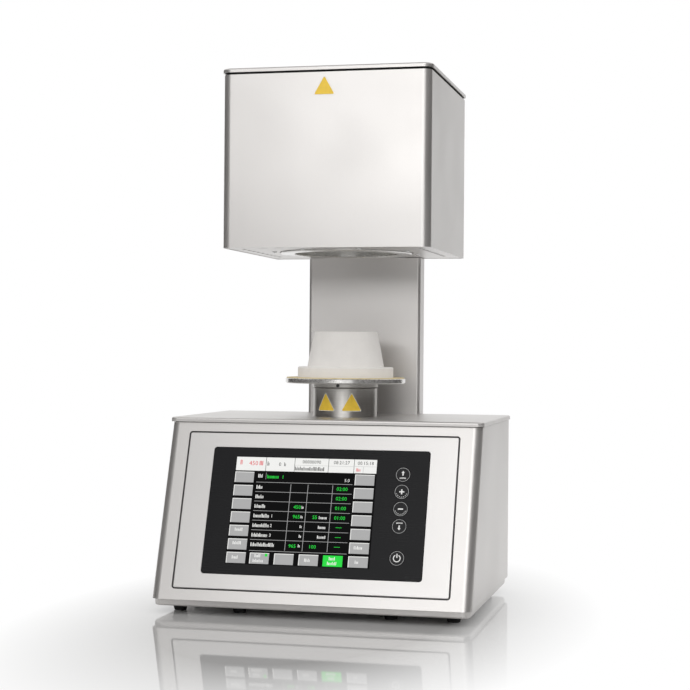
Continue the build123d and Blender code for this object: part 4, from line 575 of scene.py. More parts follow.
@dataclass(frozen=True)
class ZincSheet(Finish):
    """Zinc-coated sheet: crystal patches a few millimetres wide, each with its own tone."""

    patches: float = 210.0

    def grain(self, tree: Tree) -> None:
        """Cells with bent edges give each patch its tone and roughness."""
        patch = tree.cells(self.patches, output="Color")
        tone = tree.nodes.new("ShaderNodeSeparateColor")
        tree.links.new(patch, tone.inputs[0])
        grain = tree.noise(2400.0, 2.0)
        both = tree.calc("ADD", tree.calc("MULTIPLY", tone.outputs[0], 0.7), tree.calc("MULTIPLY", grain, 0.3))
        tree.feed("Base Color", tree.blend(both, (0.1, shade(self.colour, 0.78)),
                                           (0.9, shade(self.colour, 1.12))))
        tree.feed("Roughness", tree.span(both, self.rough - 0.1, self.rough + 0.12, 0.1, 0.9))
        tree.relief((grain, 0.006), (tree.cells(self.patches, "DISTANCE_TO_EDGE"), 0.01))


@dataclass(frozen=True)
class Moulded(Finish):
    """Moulded plastic or rubber: spark-eroded grain and faint flow marks."""

    grains: float = 2100.0
    depth: float = 0.012

    def grain(self, tree: Tree) -> None:
        """Fine grain gives relief, broad noise turns the tone and the roughness."""
        pits = tree.noise(self.grains, 3.0, 0.6)
        flow = tree.noise(35.0, 3.0, 0.55)
        tree.feed("Base Color", tree.blend(tree.calc("MULTIPLY", tree.calc("ADD", pits, flow), 0.5),
                                           (0.3, shade(self.colour, 0.84)), (0.7, shade(self.colour, 1.16))))
        tree.feed("Roughness", tree.span(flow, self.rough - 0.05, self.rough + 0.07))
        tree.relief((pits, self.depth))


@dataclass(frozen=True)
class GlossPanel(Finish):
    """Polished panel: hairline wiping marks and specks of dust over a deep even colour."""

    wipes: float = 900.0

    def grain(self, tree: Tree) -> None:
        """Wiping marks run along the panel, dust is the middle of small sparse cells."""
        marks = tree.noise(self.wipes, 4.0, 0.7, tree.stretched(0.06, 1.0, 1.0))
        dust = tree.span(tree.cells(330.0), 1.0, 0.0, 0.02, 0.09)
        veil = tree.noise(22.0, 3.0, 0.6)
        tree.feed("Base Color", tree.blend(dust, (0.0, self.colour), (1.0, shade(self.colour, 1.7))))
        both = tree.calc("ADD", tree.calc("MULTIPLY", marks, 0.4), tree.calc("MULTIPLY", veil, 0.6))
        tree.feed("Roughness", tree.span(both, self.rough - 0.04, self.rough + 0.08))
        tree.relief((marks, 0.0012))


@dataclass(frozen=True)
class Fired(Finish):
    """Fired ceramic: a chalky skin with open pores, faint clouds and a few iron specks."""

    pores: float = 1500.0
    depth: float = 0.05

    def grain(self, tree: Tree) -> None:
        """Pores are small cells, the chalk is fine noise, specks are rare cells."""
        pore = tree.span(tree.cells(self.pores), 0.0, 1.0, 0.05, 0.45)
        chalk = tree.noise(3600.0, 3.0, 0.65)
        cloud = tree.noise(28.0, 4.0, 0.6)
        tone = tree.calc("ADD", tree.calc("MULTIPLY", cloud, 0.7), tree.calc("MULTIPLY", chalk, 0.3))
        body = tree.blend(tone, (0.3, shade(self.colour, 0.92)), (0.7, shade(self.colour, 1.04)))
        speck = tree.span(tree.cells(240.0), 1.0, 0.0, 0.03, 0.05)
        mixed = tree.nodes.new("ShaderNodeMix")
        mixed.data_type = "RGBA"
        tree.links.new(speck, mixed.inputs["Factor"])
        tree.links.new(body, mixed.inputs[6])
        mixed.inputs[7].default_value = (*shade(self.colour, 0.55), 1.0)
        tree.feed("Base Color", mixed.outputs[2])
        tree.feed("Roughness", tree.span(chalk, self.rough - 0.06, self.rough + 0.06))
        tree.relief((cloud, 0.06), (pore, self.depth), (chalk, 0.02))


@dataclass(frozen=True)
class Fibre(Finish):
    """Felted fibre: crossed strands drawn out two ways, with soft hollows between them."""

    strand: float = 1900.0
    depth: float = 0.12

    def grain(self, tree: Tree) -> None:
        """Two nets of stretched noise cross at right angles."""
        one = tree.noise(self.strand, 4.0, 0.7, tree.stretched(0.12, 1.0, 0.5))
        two = tree.noise(self.strand, 4.0, 0.7, tree.stretched(1.0, 0.12, 0.6))
        felt = tree.calc("MAXIMUM", one, two)
        lumps = tree.noise(130.0, 3.0, 0.6)
        tone = tree.calc("MULTIPLY", tree.calc("ADD", felt, lumps), 0.5)
        tree.feed("Base Color", tree.blend(tone, (0.35, shade(self.colour, 0.8)), (0.65, shade(self.colour, 1.06))))
        tree.feed("Roughness", tree.span(felt, self.rough - 0.05, self.rough + 0.05))
        tree.relief((lumps, 0.1), (felt, self.depth))


@dataclass(frozen=True)
class Sponge(Finish):
    """Closed-cell foam: round cells with thin walls, painted shade in the hollows and painted highlights on the walls.
    """

    bubbles: float = 1500.0

    def grain(self, tree: Tree) -> None:
        """Each cell is a hollow with painted shade in it, and its wall is lighter as a painted highlight."""
        cell = tree.cells(self.bubbles)
        # painted shade and highlight: darker towards each hollow's middle, lighter up on the cell walls
        tree.feed("Base Color", tree.blend(cell, (0.1, shade(self.colour, 0.6)), (0.7, shade(self.colour, 1.5))))
        tree.feed("Roughness", tree.span(cell, self.rough - 0.05, self.rough + 0.05, 0.0, 0.8))
        tree.relief((cell, 0.12))


@dataclass(frozen=True)
class Clear(Finish):
    """Milky glass or silicone: light passes through, with streaks along the drawing direction."""

    through: float = 0.4
    streak: tuple[float, float, float] = (1.0, 1.0, 0.03)

    def grain(self, tree: Tree) -> None:
        """Streaks of noise turn the tone and the roughness and ripple the surface."""
        tree.set(Transmission_Weight=self.through, IOR=1.45)
        lines = tree.noise(700.0, 3.0, 0.6, tree.stretched(*self.streak))
        seeds = tree.noise(140.0, 3.0, 0.6)
        tree.feed("Base Color", tree.blend(seeds, (0.3, shade(self.colour, 0.9)), (0.7, shade(self.colour, 1.03))))
        tree.feed("Roughness", tree.span(lines, self.rough - 0.08, self.rough + 0.1))
        tree.relief((lines, 0.02))


@dataclass(frozen=True)
class SolderMask(Finish):
    """Circuit board: green lacquer with square-cornered copper tracks that show through it."""

    tracks: float = 260.0
    turn: float = 0.0

    def grain(self, tree: Tree) -> None:
        """Tracks are the edges of square cells."""
        node = tree.nodes.new("ShaderNodeTexVoronoi")
        node.distance = "CHEBYCHEV"
        node.feature = "F2"
        node.inputs["Scale"].default_value = self.tracks
        tree.links.new(tree.stretched(1.0, 1.0, 0.01, turn=self.turn), node.inputs["Vector"])
        bands = tree.calc("PINGPONG", tree.calc("MULTIPLY", node.outputs["Distance"], 6.0), 1.0)
        track = tree.span(bands, 0.0, 1.0, 0.45, 0.55)
        tree.feed("Base Color", tree.blend(track, (0.0, shade(self.colour, 0.7)), (1.0, shade(self.colour, 1.7))))
        tree.feed("Roughness", tree.span(tree.noise(60.0), self.rough - 0.05, self.rough + 0.1))
        tree.relief((track, 0.03), (tree.noise(2500.0), 0.004))


@dataclass(frozen=True)
class Lit(Finish):
    """Lit dots of a display: rows of small dots, dimmer between them."""

    gloss: float = 0.15
    glow: float = 0.75
    dots: float = 3745.0  # dots a metre, 640 across the picture

    def grain(self, tree: Tree) -> None:
        """Dots are the product of two waves, across the picture and up its slope."""
        split = tree.nodes.new("ShaderNodeSeparateXYZ")
        tree.links.new(tree.place, split.inputs[0])
        up = tree.calc("MULTIPLY", split.outputs[2], 1.0 / math.cos(math.radians(19.48)))
        waves = [tree.calc("ABSOLUTE", tree.calc("SINE", tree.calc("MULTIPLY", v, self.dots * math.pi)))
                 for v in (split.outputs[0], up)]
        dot = tree.calc("SQRT", tree.calc("MULTIPLY", *waves))
        colour = tree.blend(dot, (0.0, shade(self.colour, 0.82)), (0.6, self.colour))
        tree.feed("Base Color", tree.blend(dot, (0.0, shade(self.colour, 0.2)), (1.0, shade(self.colour, 0.25))))
        tree.feed("Emission Color", colour)
        tree.set(Emission_Strength=self.glow)


@dataclass(frozen=True)
class Film(Finish):
    """Printed film or ink: slightly uneven cover with a fine pebbled skin."""

    def grain(self, tree: Tree) -> None:
        """Broad noise thins the ink here and there, fine noise pebbles the skin."""
        cover = tree.noise(160.0, 4.0, 0.6)
        skin = tree.noise(3000.0, 2.0)
        tree.feed("Base Color", tree.blend(cover, (0.3, shade(self.colour, 0.9)), (0.7, shade(self.colour, 1.05))))
        tree.feed("Roughness", tree.span(cover, self.rough - 0.05, self.rough + 0.08))
        tree.relief((skin, 0.004))


SILVER = (0.65, 0.632, 0.616)


class Look(Enum):
    """The finishes of the furnace."""

    HOUSING = SilverCoat("housing_silver", SILVER, 0.37, 0.84)
    PANEL = SilverCoat("panel_silver", (0.65, 0.636, 0.624), 0.36, 0.84)
    COLLAR = TurnedMetal("collar_steel", (0.62, 0.605, 0.58), 0.42, 1.0, pitch=1900.0, depth=0.008)
    POLISHED = TurnedMetal("polished_steel", (0.66, 0.65, 0.63), 0.24, 1.0, pitch=3200.0, depth=0.002)
    GROUND = DrawnMetal("ground_steel", (0.55, 0.55, 0.54), 0.26, 1.0)
    ZINC = ZincSheet("zinc_sheet", (0.5, 0.52, 0.53), 0.42, 0.85)
    BRONZE = DrawnMetal("bronze", (0.55, 0.33, 0.14), 0.34, 1.0)
    WIRE = DrawnMetal("heating_wire", (0.28, 0.25, 0.22), 0.4, 1.0)
    BEZEL = GlossPanel("bezel_black", (0.008, 0.008, 0.009), 0.24, gloss=0.16)
    GLASS = GlossPanel("screen_glass", (0.002, 0.002, 0.0022), 0.12, gloss=0.06)
    KEY = Moulded("key_black", (0.01, 0.01, 0.011), 0.42, gloss=0.2, grains=2600.0, depth=0.006)
    BLACK = Moulded("black_plastic", (0.018, 0.018, 0.019), 0.48)
    GREY = Moulded("grey_plastic", (0.24, 0.245, 0.25), 0.5)
    BOARD = SolderMask("board_green", (0.02, 0.12, 0.05), 0.32)
    RUBBER = Moulded("rubber_black", (0.012, 0.012, 0.012), 0.72, grains=900.0, depth=0.03)
    FOAM = Sponge("foam_black", (0.015, 0.015, 0.015), 0.9)
    GASKET = Fibre("gasket_cream", (0.72, 0.6, 0.36), 0.88)
    PLUG = Fired("plug_ceramic", (0.81, 0.785, 0.755), 0.8)
    LINING = Fibre("fibre_white", (0.8, 0.78, 0.73), 0.95)
    QUARTZ = Clear("quartz", (0.85, 0.86, 0.86), 0.3, through=0.45)
    BUSH = Moulded("bush_white", (0.74, 0.73, 0.69), 0.4)
    HOSE = Clear("hose_silicone", (0.78, 0.75, 0.7), 0.42, through=0.3)
    BELT = Fibre("belt_black", (0.02, 0.02, 0.021), 0.72, depth=0.04)
    TAPE = Fibre("winding_tape", (0.76, 0.68, 0.42), 0.55, depth=0.03)

    def dress(self, node: bpy.types.Object) -> None:
        """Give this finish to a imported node."""
        for place in node.material_slots:
            place.material = self.value.material()


class Ink(Enum):
    """The colours of prints, films and display dots."""

    WHITE = Film("print_white", (0.78, 0.78, 0.77), 0.5)
    GREY = Film("print_grey", (0.42, 0.42, 0.42), 0.5)
    YELLOW = Film("film_yellow", (0.87, 0.58, 0.04), 0.4)
    PALE = Film("film_white", (0.8, 0.79, 0.76), 0.4)
    DOT_WHITE = Lit("dots_white", (0.92, 0.92, 0.9), 0.5)
    DOT_GREY = Lit("dots_grey", (0.44, 0.44, 0.44), 0.5)
    DOT_LINE = Lit("dots_line", (0.4, 0.4, 0.4), 0.5)
    DOT_BLACK = Lit("dots_black", (0.02, 0.02, 0.02), 0.5)
    DOT_RED = Lit("dots_red", (0.8, 0.08, 0.1), 0.5)
    DOT_GREEN = Lit("dots_green", (0.02, 0.75, 0.06), 0.5)


# ---- markings and small parts -----------------------------------------------------------------
PANEL_LEAN = math.radians(19.48)
FRONT = Place((0.0, -163.4, 17.1), (1.0, 0.0, 0.0), (0.0, math.sin(PANEL_LEAN), math.cos(PANEL_LEAN)))
REAR_Y = 143.4


def figures(text: str, height: float, x: float, y: float, low: float, high: float,
            centred: bool = True) -> Surface:
    """Return plain figures as thin raised plates.

    The outline curves of the figures are raised to a thin block, made a mesh and scaled by
    height / cap height, then shifted to x, y.

    Args:
        text: Figures to show.
        height: Height of a figure.
        x: Middle of the text, or its left end.
        y: Foot of the figures.
        low: Height of their underside.
        high: Height of their face.
        centred: Whether x is the middle.

    Returns:
        The surface, as triangles.
    """
    curve = bpy.data.curves.new("figures", "FONT")
    curve.body, curve.extrude, curve.resolution_u = text, 0.5, 2
    carrier = bpy.data.objects.new("figures", curve)
    mesh = bpy.data.meshes.new_from_object(carrier)
    mesh.calc_loop_triangles()
    points = np.empty(len(mesh.vertices) * 3)
    mesh.vertices.foreach_get("co", points)
    triangles = np.empty(len(mesh.loop_triangles) * 3, int)
    mesh.loop_triangles.foreach_get("vertices", triangles)
    for remains, store in ((carrier, bpy.data.objects), (curve, bpy.data.curves), (mesh, bpy.data.meshes)):
        store.remove(remains)
    points = points.reshape(-1, 3)
    cap_height = 0.73
    points *= [height / cap_height, height / cap_height, high - low]
    points[:, 2] += (low + high) / 2
    shift = -(points[:, 0].min() + points[:, 0].max()) / 2 if centred else -points[:, 0].min()
    return Surface(points + np.array([x + shift, y, 0.0]), [triangles.reshape(-1, 3)])


@dataclass
class DisplayImage:
    """The lit picture: status bar, soft keys and a table of plain figures, on the display's glass."""

    middle_x: float = -16.75
    middle_s: float = 109.85
    width: float = 171.6
    height: float = 129.4
    glass: float = 0.3  # face of the glass above the front plane
    layer: float = 0.02
    key_w: float = 0.136
    key_h: float = 0.1
    key_pitch: float = 0.1255
    first_key: float = 0.142
    right_keys: float = 0.8535
    bottom_keys: tuple[float, ...] = (0.001, 0.166, 0.338, 0.510, 0.679, 0.8535)
    lit_key: int = 4
    columns: tuple[float, ...] = (0.407, 0.529, 0.703)
    table: tuple[float, float] = (0.157, 0.839)
    head_line: float = 0.237
    row: float = 0.0893
    rows: int = 7
    bar: float = 0.13
    bar_marks: tuple[float, ...] = (0.215, 0.42, 0.66, 0.84)
    seed: int = 4

    def area(self, x0: float | np.ndarray, x1: float | np.ndarray, y0: float | np.ndarray,
             y1: float | np.ndarray, low: float, high: float, bevel: float = 0.0) -> Surface:
        """Return plates given by fractions of the picture, x to the right and y down."""
        left, top = self.middle_x - self.width / 2, self.middle_s + self.height / 2
        x0, x1, y0, y1 = (np.asarray(v, float) for v in (x0, x1, y0, y1))
        return plates(left + x0 * self.width, left + x1 * self.width, top - y1 * self.height,
                      top - y0 * self.height, self.glass + low * self.layer, self.glass + high * self.layer,
                      bevel)

    def text(self, value: str, x: float, y: float, size: float, layer: float = 1.0,
             centred: bool = True) -> Surface:
        """Return figures at a place of the picture, size being their share of its height."""
        left, top = self.middle_x - self.width / 2, self.middle_s + self.height / 2
        return figures(value, size * self.height, left + x * self.width, top - (y + size) * self.height,
                       self.glass + layer * self.layer, self.glass + (layer + 1) * self.layer, centred)

    def strokes(self, x: float, y: float, length: float, size: float, layer: float, draw: int) -> Surface:
        """Return a row of short upright strokes that stands for a label.

        Stroke i spans from the sum of the widths before it to the sum with its own; tall ones reach
        the full size and short ones two thirds of it.

        Args:
            x: Left end, as a fraction of the picture.
            y: Upper edge.
            length: Length of the row.
            size: Height of the tall strokes.
            layer: Layer that the strokes start on.
            draw: Number that makes this label differ from the others.

        Returns:
            The strokes as one surface.
        """
        chance = np.random.default_rng(self.seed + draw)
        widths = chance.uniform(0.0035, 0.0062, int(length / 0.0085))
        ends = np.cumsum(widths + 0.0038)
        ends = ends[ends <= length]
        widths = widths[:len(ends)]
        tall = chance.random(len(ends)) < 0.35
        tall[0] = True
        tops = y + np.where(tall, 0.0, size * 0.3)
        return self.area(x + ends - widths - 0.0038, x + ends - 0.0038, tops, y + size, layer, layer + 1.0)

    def soft_keys(self) -> tuple[np.ndarray, np.ndarray]:
        """Return the left and upper edges of all the grey soft keys."""
        tops = self.first_key + self.key_pitch * np.arange(6)
        lefts = np.concatenate([np.full(6, 0.001), np.full(6, self.right_keys),
                                np.delete(self.bottom_keys, self.lit_key)])
        return lefts, np.concatenate([tops, tops, np.full(5, 0.894)])

    def build(self) -> None:
        """Make the picture, one piece for each colour of dots."""
        left, right = self.table
        x, y = self.soft_keys()
        w, h = self.key_w, self.key_h
        lit = self.bottom_keys[self.lit_key]
        cells = self.head_line + self.row * np.arange(self.rows)
        lines = np.append(cells, 0.875)
        marks = np.array(self.columns)
        bars = np.array([0.0, *self.bar_marks])
        ends = np.array([*self.bar_marks, 1.0])
        middle = (cells + np.append(cells[1:], 0.86)) / 2
        pieces = {
            "display_keys": (Ink.DOT_GREY, [self.area(x, x + w, y, y + h, 0, 3, 0.5)]),
            "display_key_edges": (Ink.DOT_WHITE, [
                self.area(x, x + w, y, y + 0.006, 3, 4), self.area(x, x + 0.005, y, y + h, 3, 4)]),
            "display_bar": (Ink.DOT_WHITE, [
                self.area(bars + 0.0015, ends - 0.0015, 0.001, self.bar, 0, 3, 0.1)]),
            "display_lit_key": (Ink.DOT_GREEN, [
                self.area(lit, lit + w, 0.894, 0.994, 0, 3, 0.5), self.area(0.272, 0.29, 0.897, 0.925, 3, 4)]),
            "display_lines": (Ink.DOT_LINE, [
                self.area(left, right, lines - 0.002, lines + 0.002, 0, 1),
                self.area(marks - 0.0018, marks + 0.0018, self.head_line + 0.012, 0.865, 1, 2),
                self.area(0.222, 0.2245, 0.147, 0.208, 1, 2)]),
            "display_bar_lines": (Ink.DOT_LINE, [
                self.area(0.42, 0.84, 0.068, 0.07, 3, 4), self.area(0.845, 0.995, 0.066, 0.068, 3, 4),
                self.area(0.905, 0.907, 0.07, 0.128, 4, 5)]),
            "display_labels": (Ink.DOT_WHITE, [
                *[self.strokes(left + 0.006, m - 0.016, n, 0.034, 1, i)
                  for i, (m, n) in enumerate(zip(middle, (0.045, 0.06, 0.085, 0.12, 0.12, 0.12, 0.17)))],
                self.text("1", left + 0.136, middle[3] - 0.016, 0.03), self.text("2", left + 0.136, middle[4] - 0.016, 0.03),
                self.text("3", left + 0.136, middle[5] - 0.016, 0.03),
                self.strokes(0.168, 0.16, 0.04, 0.034, 1, 11), self.text("5.0", 0.80, 0.185, 0.03),
                *[self.strokes(0.497, m - 0.012, 0.02, 0.026, 1, 30 + i) for i, m in enumerate(middle[2:])],
                *[self.strokes(0.625, m - 0.012, 0.062, 0.028, 1, 40 + i) for i, m in enumerate(middle[3:6])],
                *[self.strokes(a, b, n, 0.03, 3, 50 + i) for i, (a, b, n) in enumerate((
                    (0.04, 0.668, 0.06), (0.035, 0.793, 0.07), (0.04, 0.925, 0.05), (0.2, 0.905, 0.05),
                    (0.19, 0.95, 0.08), (0.55, 0.93, 0.05), (0.885, 0.8, 0.07), (0.9, 0.93, 0.03),
                    (0.72, 0.907, 0.05), (0.71, 0.95, 0.07)))]]),
            "display_status": (Ink.DOT_BLACK, [
                self.text("0", 0.315, 0.045, 0.034, 3), self.strokes(0.225, 0.04, 0.02, 0.04, 3, 20),
                self.strokes(0.345, 0.045, 0.02, 0.036, 3, 21), self.text("00000090", 0.54, 0.018, 0.032, 3),
                self.strokes(0.425, 0.082, 0.215, 0.036, 3, 22), self.text("08:21:27", 0.752, 0.018, 0.032, 3),
                self.text("00:15:18", 0.92, 0.018, 0.032, 3)]),
            "display_heat": (Ink.DOT_RED, [
                self.text("450", 0.125, 0.036, 0.042, 3), self.strokes(0.03, 0.03, 0.02, 0.044, 3, 23),
                self.strokes(0.168, 0.036, 0.03, 0.042, 3, 24), self.strokes(0.857, 0.084, 0.036, 0.03, 3, 25)]),
            "display_values": (Ink.DOT_GREEN, [
                self.strokes(0.232, 0.165, 0.09, 0.034, 1, 26), self.text("1", 0.345, 0.165, 0.034),
                self.text("02:00", 0.77, middle[0] - 0.018, 0.034), self.text("02:00", 0.77, middle[1] - 0.018, 0.034),
                self.text("01:00", 0.77, middle[2] - 0.018, 0.034), self.text("01:00", 0.77, middle[3] - 0.018, 0.034),
                self.text("450", 0.466, middle[2] - 0.018, 0.034), self.text("965", 0.466, middle[3] - 0.018, 0.034),
                self.text("55", 0.596, middle[3] - 0.018, 0.034), self.text("965", 0.456, middle[6] - 0.014, 0.034),
                self.text("100", 0.6, middle[6] - 0.014, 0.034),
                *[self.area(0.748, 0.79, m - 0.002, m + 0.002, 1, 2) for m in middle[4:]]]),
        }
        for name, (ink, shapes) in pieces.items():
            Part(name, "housing", "screen_glass").make(joined(*shapes).at(FRONT), ink.value)


class Sign(Enum):
    """The sign on a key."""

    UP = "key_up"
    PLUS = "key_plus"
    MINUS = "key_minus"
    DOWN = "key_down"
    POWER = "key_power"


@dataclass
class KeyPrints:
    """Prints on the five round keys: a slim ring and a sign on each."""

    x: float = 100.8
    face: float = 0.9
    cover: float = 0.03
    ring_out: float = 8.25
    ring_in: float = 7.8
    places: dict[Sign, float] = field(default_factory=lambda: {
        Sign.UP: 157.3, Sign.PLUS: 136.8, Sign.MINUS: 116.3, Sign.DOWN: 95.8, Sign.POWER: 58.4})

    def arrow(self, up: bool) -> Surface:
        """Return an arrow and, past its tail, a short row of strokes."""
        tip = np.array([(0, 4.6), (-2.0, 2.1), (-0.75, 2.1), (-0.75, -1.1), (0.75, -1.1), (0.75, 2.1), (2.0, 2.1)])
        way = 1.0 if up else -1.0
        outline = tip * [way, way] if up else tip * [-1.0, -1.0]
        low, high = self.face, self.face + self.cover
        x = np.arange(-3.2, 3.3, 1.28)
        y = way * -4.0
        marks = plates(x - 0.42, x + 0.42, y - 0.75 - 0.08 * np.abs(x), y + 0.75 - 0.08 * np.abs(x), low, high)
        return joined(slab(outline, low, high), marks)

    def dashes(self) -> Surface:
        """Return dashes along the lower arc inside the ring: each is a plate turned to the arc."""
        low, high = self.face, self.face + self.cover
        dash = plates(-0.27, 0.27, -0.62, 0.62, low, high)
        made = []
        for angle in np.radians(np.arange(204.0, 337.0, 22.0)):
            turn = Place((6.3 * math.cos(angle), 6.3 * math.sin(angle), 0.0),
                         (math.cos(angle + 0.6), math.sin(angle + 0.6), 0.0),
                         (-math.sin(angle + 0.6), math.cos(angle + 0.6), 0.0))
            made.append(dash.at(turn))
        return joined(*made)

    def sign(self, sign: Sign) -> Surface:
        """Return the sign of one key about the key's middle."""
        low, high = self.face, self.face + self.cover
        bar = plates(-3.0, 3.0, -0.75, 0.75, low, high)
        match sign:
            case Sign.UP | Sign.DOWN:
                return self.arrow(sign is Sign.UP)
            case Sign.PLUS:
                post = plates([-0.75, -0.75], [0.75, 0.75], [0.75, -3.0], [3.0, -0.75], low, high)
                return joined(bar, post, self.dashes())
            case Sign.MINUS:
                return joined(bar, self.dashes())
        outside, inside = arc(4.5, 62, -242, 41), arc(3.4, -242, 62, 41)
        bow = slab(np.concatenate([outside, inside])[::-1], low, high)
        return joined(bow, plates(-0.6, 0.6, 0.6, 5.4, low, high))

    def build(self) -> None:
        """Make the ring and the sign of each key and let them ride on its cap."""
        ring = flange_ring(self.ring_out, self.ring_in, self.face, self.face + self.cover, 64)
        for sign, s in self.places.items():
            body = f"{sign.value}_cap"
            Part(f"{sign.value}_ring", body, "key_black").make(ring.moved(self.x, s).at(FRONT), Ink.GREY.value)
            Part(f"{sign.value}_sign", body, "key_black").make(self.sign(sign).moved(self.x, s).at(FRONT),
                                                               Ink.WHITE.value)


@dataclass
class TrianglePlates:
    """Bare triangular plates: a white film with a slightly smaller yellow one on it."""

    side: float = 27.0
    corner: float = 1.1
    rim: float = 0.6
    film: float = 0.12
    head_x: float = -1.3
    head_y: float = -96.8
    head_low: float = 613.0
    collar_r: float = 40.0
    collar_low: float = 234.6
    collar_turn: float = 24.3

    def film_plate(self, inset: float, low: float, high: float) -> Surface:
        """Return a rounded triangle as rings drawn towards its middle.

        Point = middle + k * (outline - middle), k going from 1 to a small value, first up the edge
        and then over the face and under the back.

        Args:
            inset: How far its sides lie inside the full triangle.
            low: Height of its back.
            high: Height of its face.

        Returns:
            The closed surface, about the middle of the triangle's foot.
        """
        tall = self.side * math.sqrt(3) / 2
        middle = np.array([0.0, tall / 3])
        shrink = 1 - inset / (tall / 3)
        corners = np.array([(-self.side / 2, 0.0), (self.side / 2, 0.0), (0.0, tall)])
        outline = rounded_outline((corners - middle) * shrink + middle, self.corner, 7)
        far = np.roll(outline, -1, 0)
        steps = np.linspace(0, 1, 6, endpoint=False)[None, :, None]
        outline = (outline[:, None] * (1 - steps) + far[:, None] * steps).reshape(-1, 2)
        inward = np.linspace(0.1, 1.0, 8)
        rows = [(k, low) for k in inward] + [(k, high) for k in inward[::-1]]
        grid = np.stack([np.column_stack([middle + k * (outline - middle), np.full(len(outline), z)])
                         for k, z in rows])
        return capped(grid)

    def bent(self, flat: Surface, turn: float) -> Surface:
        """Wrap a flat surface round the collar: angle = x / radius + turn, reach = radius + height."""
        x, y, height = flat.points.T
        angle = x / self.collar_r + math.radians(turn)
        reach = self.collar_r + height
        return Surface(np.stack([reach * np.sin(angle), LIFT_Y - reach * np.cos(angle),
                                 self.collar_low + y], -1), flat.faces)

    def build(self) -> None:
        """Make the plate on the head and the two on the collar."""
        head = Place((self.head_x, self.head_y, self.head_low), (1.0, 0.0, 0.0), (0.0, 0.0, 1.0))
        films = {"white": (self.film_plate(0.0, 0.02, self.film), Ink.PALE),
                 "yellow": (self.film_plate(self.rim, self.film - 0.04, self.film + 0.05), Ink.YELLOW)}
        for colour, (flat, ink) in films.items():
            Part(f"head_plate_{colour}", "housing", "housing_silver").make(flat.at(head), ink.value)
            for side, turn in (("left", -self.collar_turn), ("right", self.collar_turn)):
                Part(f"collar_plate_{side}_{colour}", "housing", "collar_steel", Shading.BY_ANGLE).make(
                    self.bent(flat, turn), ink.value)


# ---- screws, feet and rear fittings -----------------------------------------------------------
class Facing(Enum):
    """Which way a small part looks away from the sheet that it sits on."""

    REAR = Place(across=(-1.0, 0.0, 0.0), along=(0.0, 0.0, 1.0))
    DOWN = Place(across=(1.0, 0.0, 0.0), along=(0.0, -1.0, 0.0))
    UP = Place()


def spots(x: Sequence[float], y: Sequence[float], z: Sequence[float]) -> np.ndarray:
    """Return every combination of the given x, y and z as rows of one array."""
    return np.stack(np.meshgrid(x, y, z, indexing="ij"), -1).reshape(-1, 3).astype(float)


@dataclass(frozen=True)
class Screw:
    """A button-head screw with a six-sided socket."""

    radius: float
    height: float
    socket: float  # from the middle of the socket to its flats
    deep: float
    sides: int = 24

    def surface(self) -> Surface:
        """Turn the dome. The socket's rows follow a hexagon: r = flat / cos(a mod 60 - 30)."""
        angle = np.linspace(0, 2 * math.pi, self.sides, endpoint=False)
        r, h = self.radius, self.height
        dome = [(r, -0.05), (r, 0.3 * h), (0.95 * r, 0.62 * h), (0.84 * r, 0.88 * h), (0.66 * r, h)]
        profile = [*dome, (self.socket, h), (self.socket, h - self.deep)]
        shape = np.ones((len(profile), self.sides))
        shape[-2:] = 1 / np.cos(angle % (math.pi / 3) - math.pi / 6)
        return turned(profile, self.sides, shape=shape)


@dataclass
class Fasteners:
    """Screws of the sheets, of the fittings on the floor, of the fan and of the chamber's flange."""

    sheet: Screw = Screw(2.85, 1.6, 1.0, 1.0)
    floor: Screw = Screw(3.8, 1.9, 1.25, 1.2)
    fan: Screw = Screw(3.6, 1.8, 1.25, 1.1)
    socket: Screw = Screw(2.3, 0.9, 0.8, 0.6)
    cover_y: float = 152.3
    flange_r: float = 91.0
    flange_z: float = 432.3
    floor_z: float = 8.8

    def rows(self) -> dict[str, tuple[Screw, Facing, Look, np.ndarray]]:
        """Return the screws of each sub-assembly: kind, facing, finish and places."""
        turn = np.radians(np.arange(8) * 45.0 + 22.5)
        flange = np.stack([self.flange_r * np.cos(turn), LIFT_Y + self.flange_r * np.sin(turn),
                           np.full(8, self.flange_z)], -1)
        rear = np.concatenate([spots([-119, 119], [self.cover_y], [441, 506, 571, 632]),
                               spots([-62, 62], [self.cover_y], [441, 632])])
        below = np.concatenate([spots([-168, -86], [-52.9, 75.1], [self.floor_z]),
                                spots([-68, 119], [LIFT_Y - 20, LIFT_Y + 20], [self.floor_z]),
                                spots([-135, -116, -40, 37, 106, 141], [-112], [self.floor_z]),
                                spots([-172, 172], [-20, 60], [self.floor_z])])
        return {
            "rear_panel_screws": (self.sheet, Facing.REAR, Look.ZINC,
                                  spots([-182, 182], [REAR_Y], [30, 75, 120, 165, 208])),
            "head_rear_screws": (self.sheet, Facing.REAR, Look.ZINC, rear),
            "column_cover_screws": (self.sheet, Facing.REAR, Look.ZINC,
                                    spots([-62, 62], [self.cover_y], [45, 140, 236, 330, 420])),
            "floor_screws": (self.floor, Facing.DOWN, Look.ZINC, below),
            "chamber_flange_screws": (self.sheet, Facing.DOWN, Look.GROUND, flange),
            "fan_screws": (self.fan, Facing.REAR, Look.BLACK,
                           spots([-132 - 35.75, -132 + 35.75], [REAR_Y], [120 - 35.75, 120 + 35.75])),
            "socket_screws": (self.socket, Facing.REAR, Look.ZINC, spots([89.4, 116.6], [145.9], [66])),
        }

    def build(self) -> None:
        """Make one piece for each row of screws."""
        for name, (screw, facing, look, places) in self.rows().items():
            heads = screw.surface().at(facing.value).copies(places)
            Part(name, "housing", look.value.name, Shading.BY_ANGLE).make(heads, look.value)


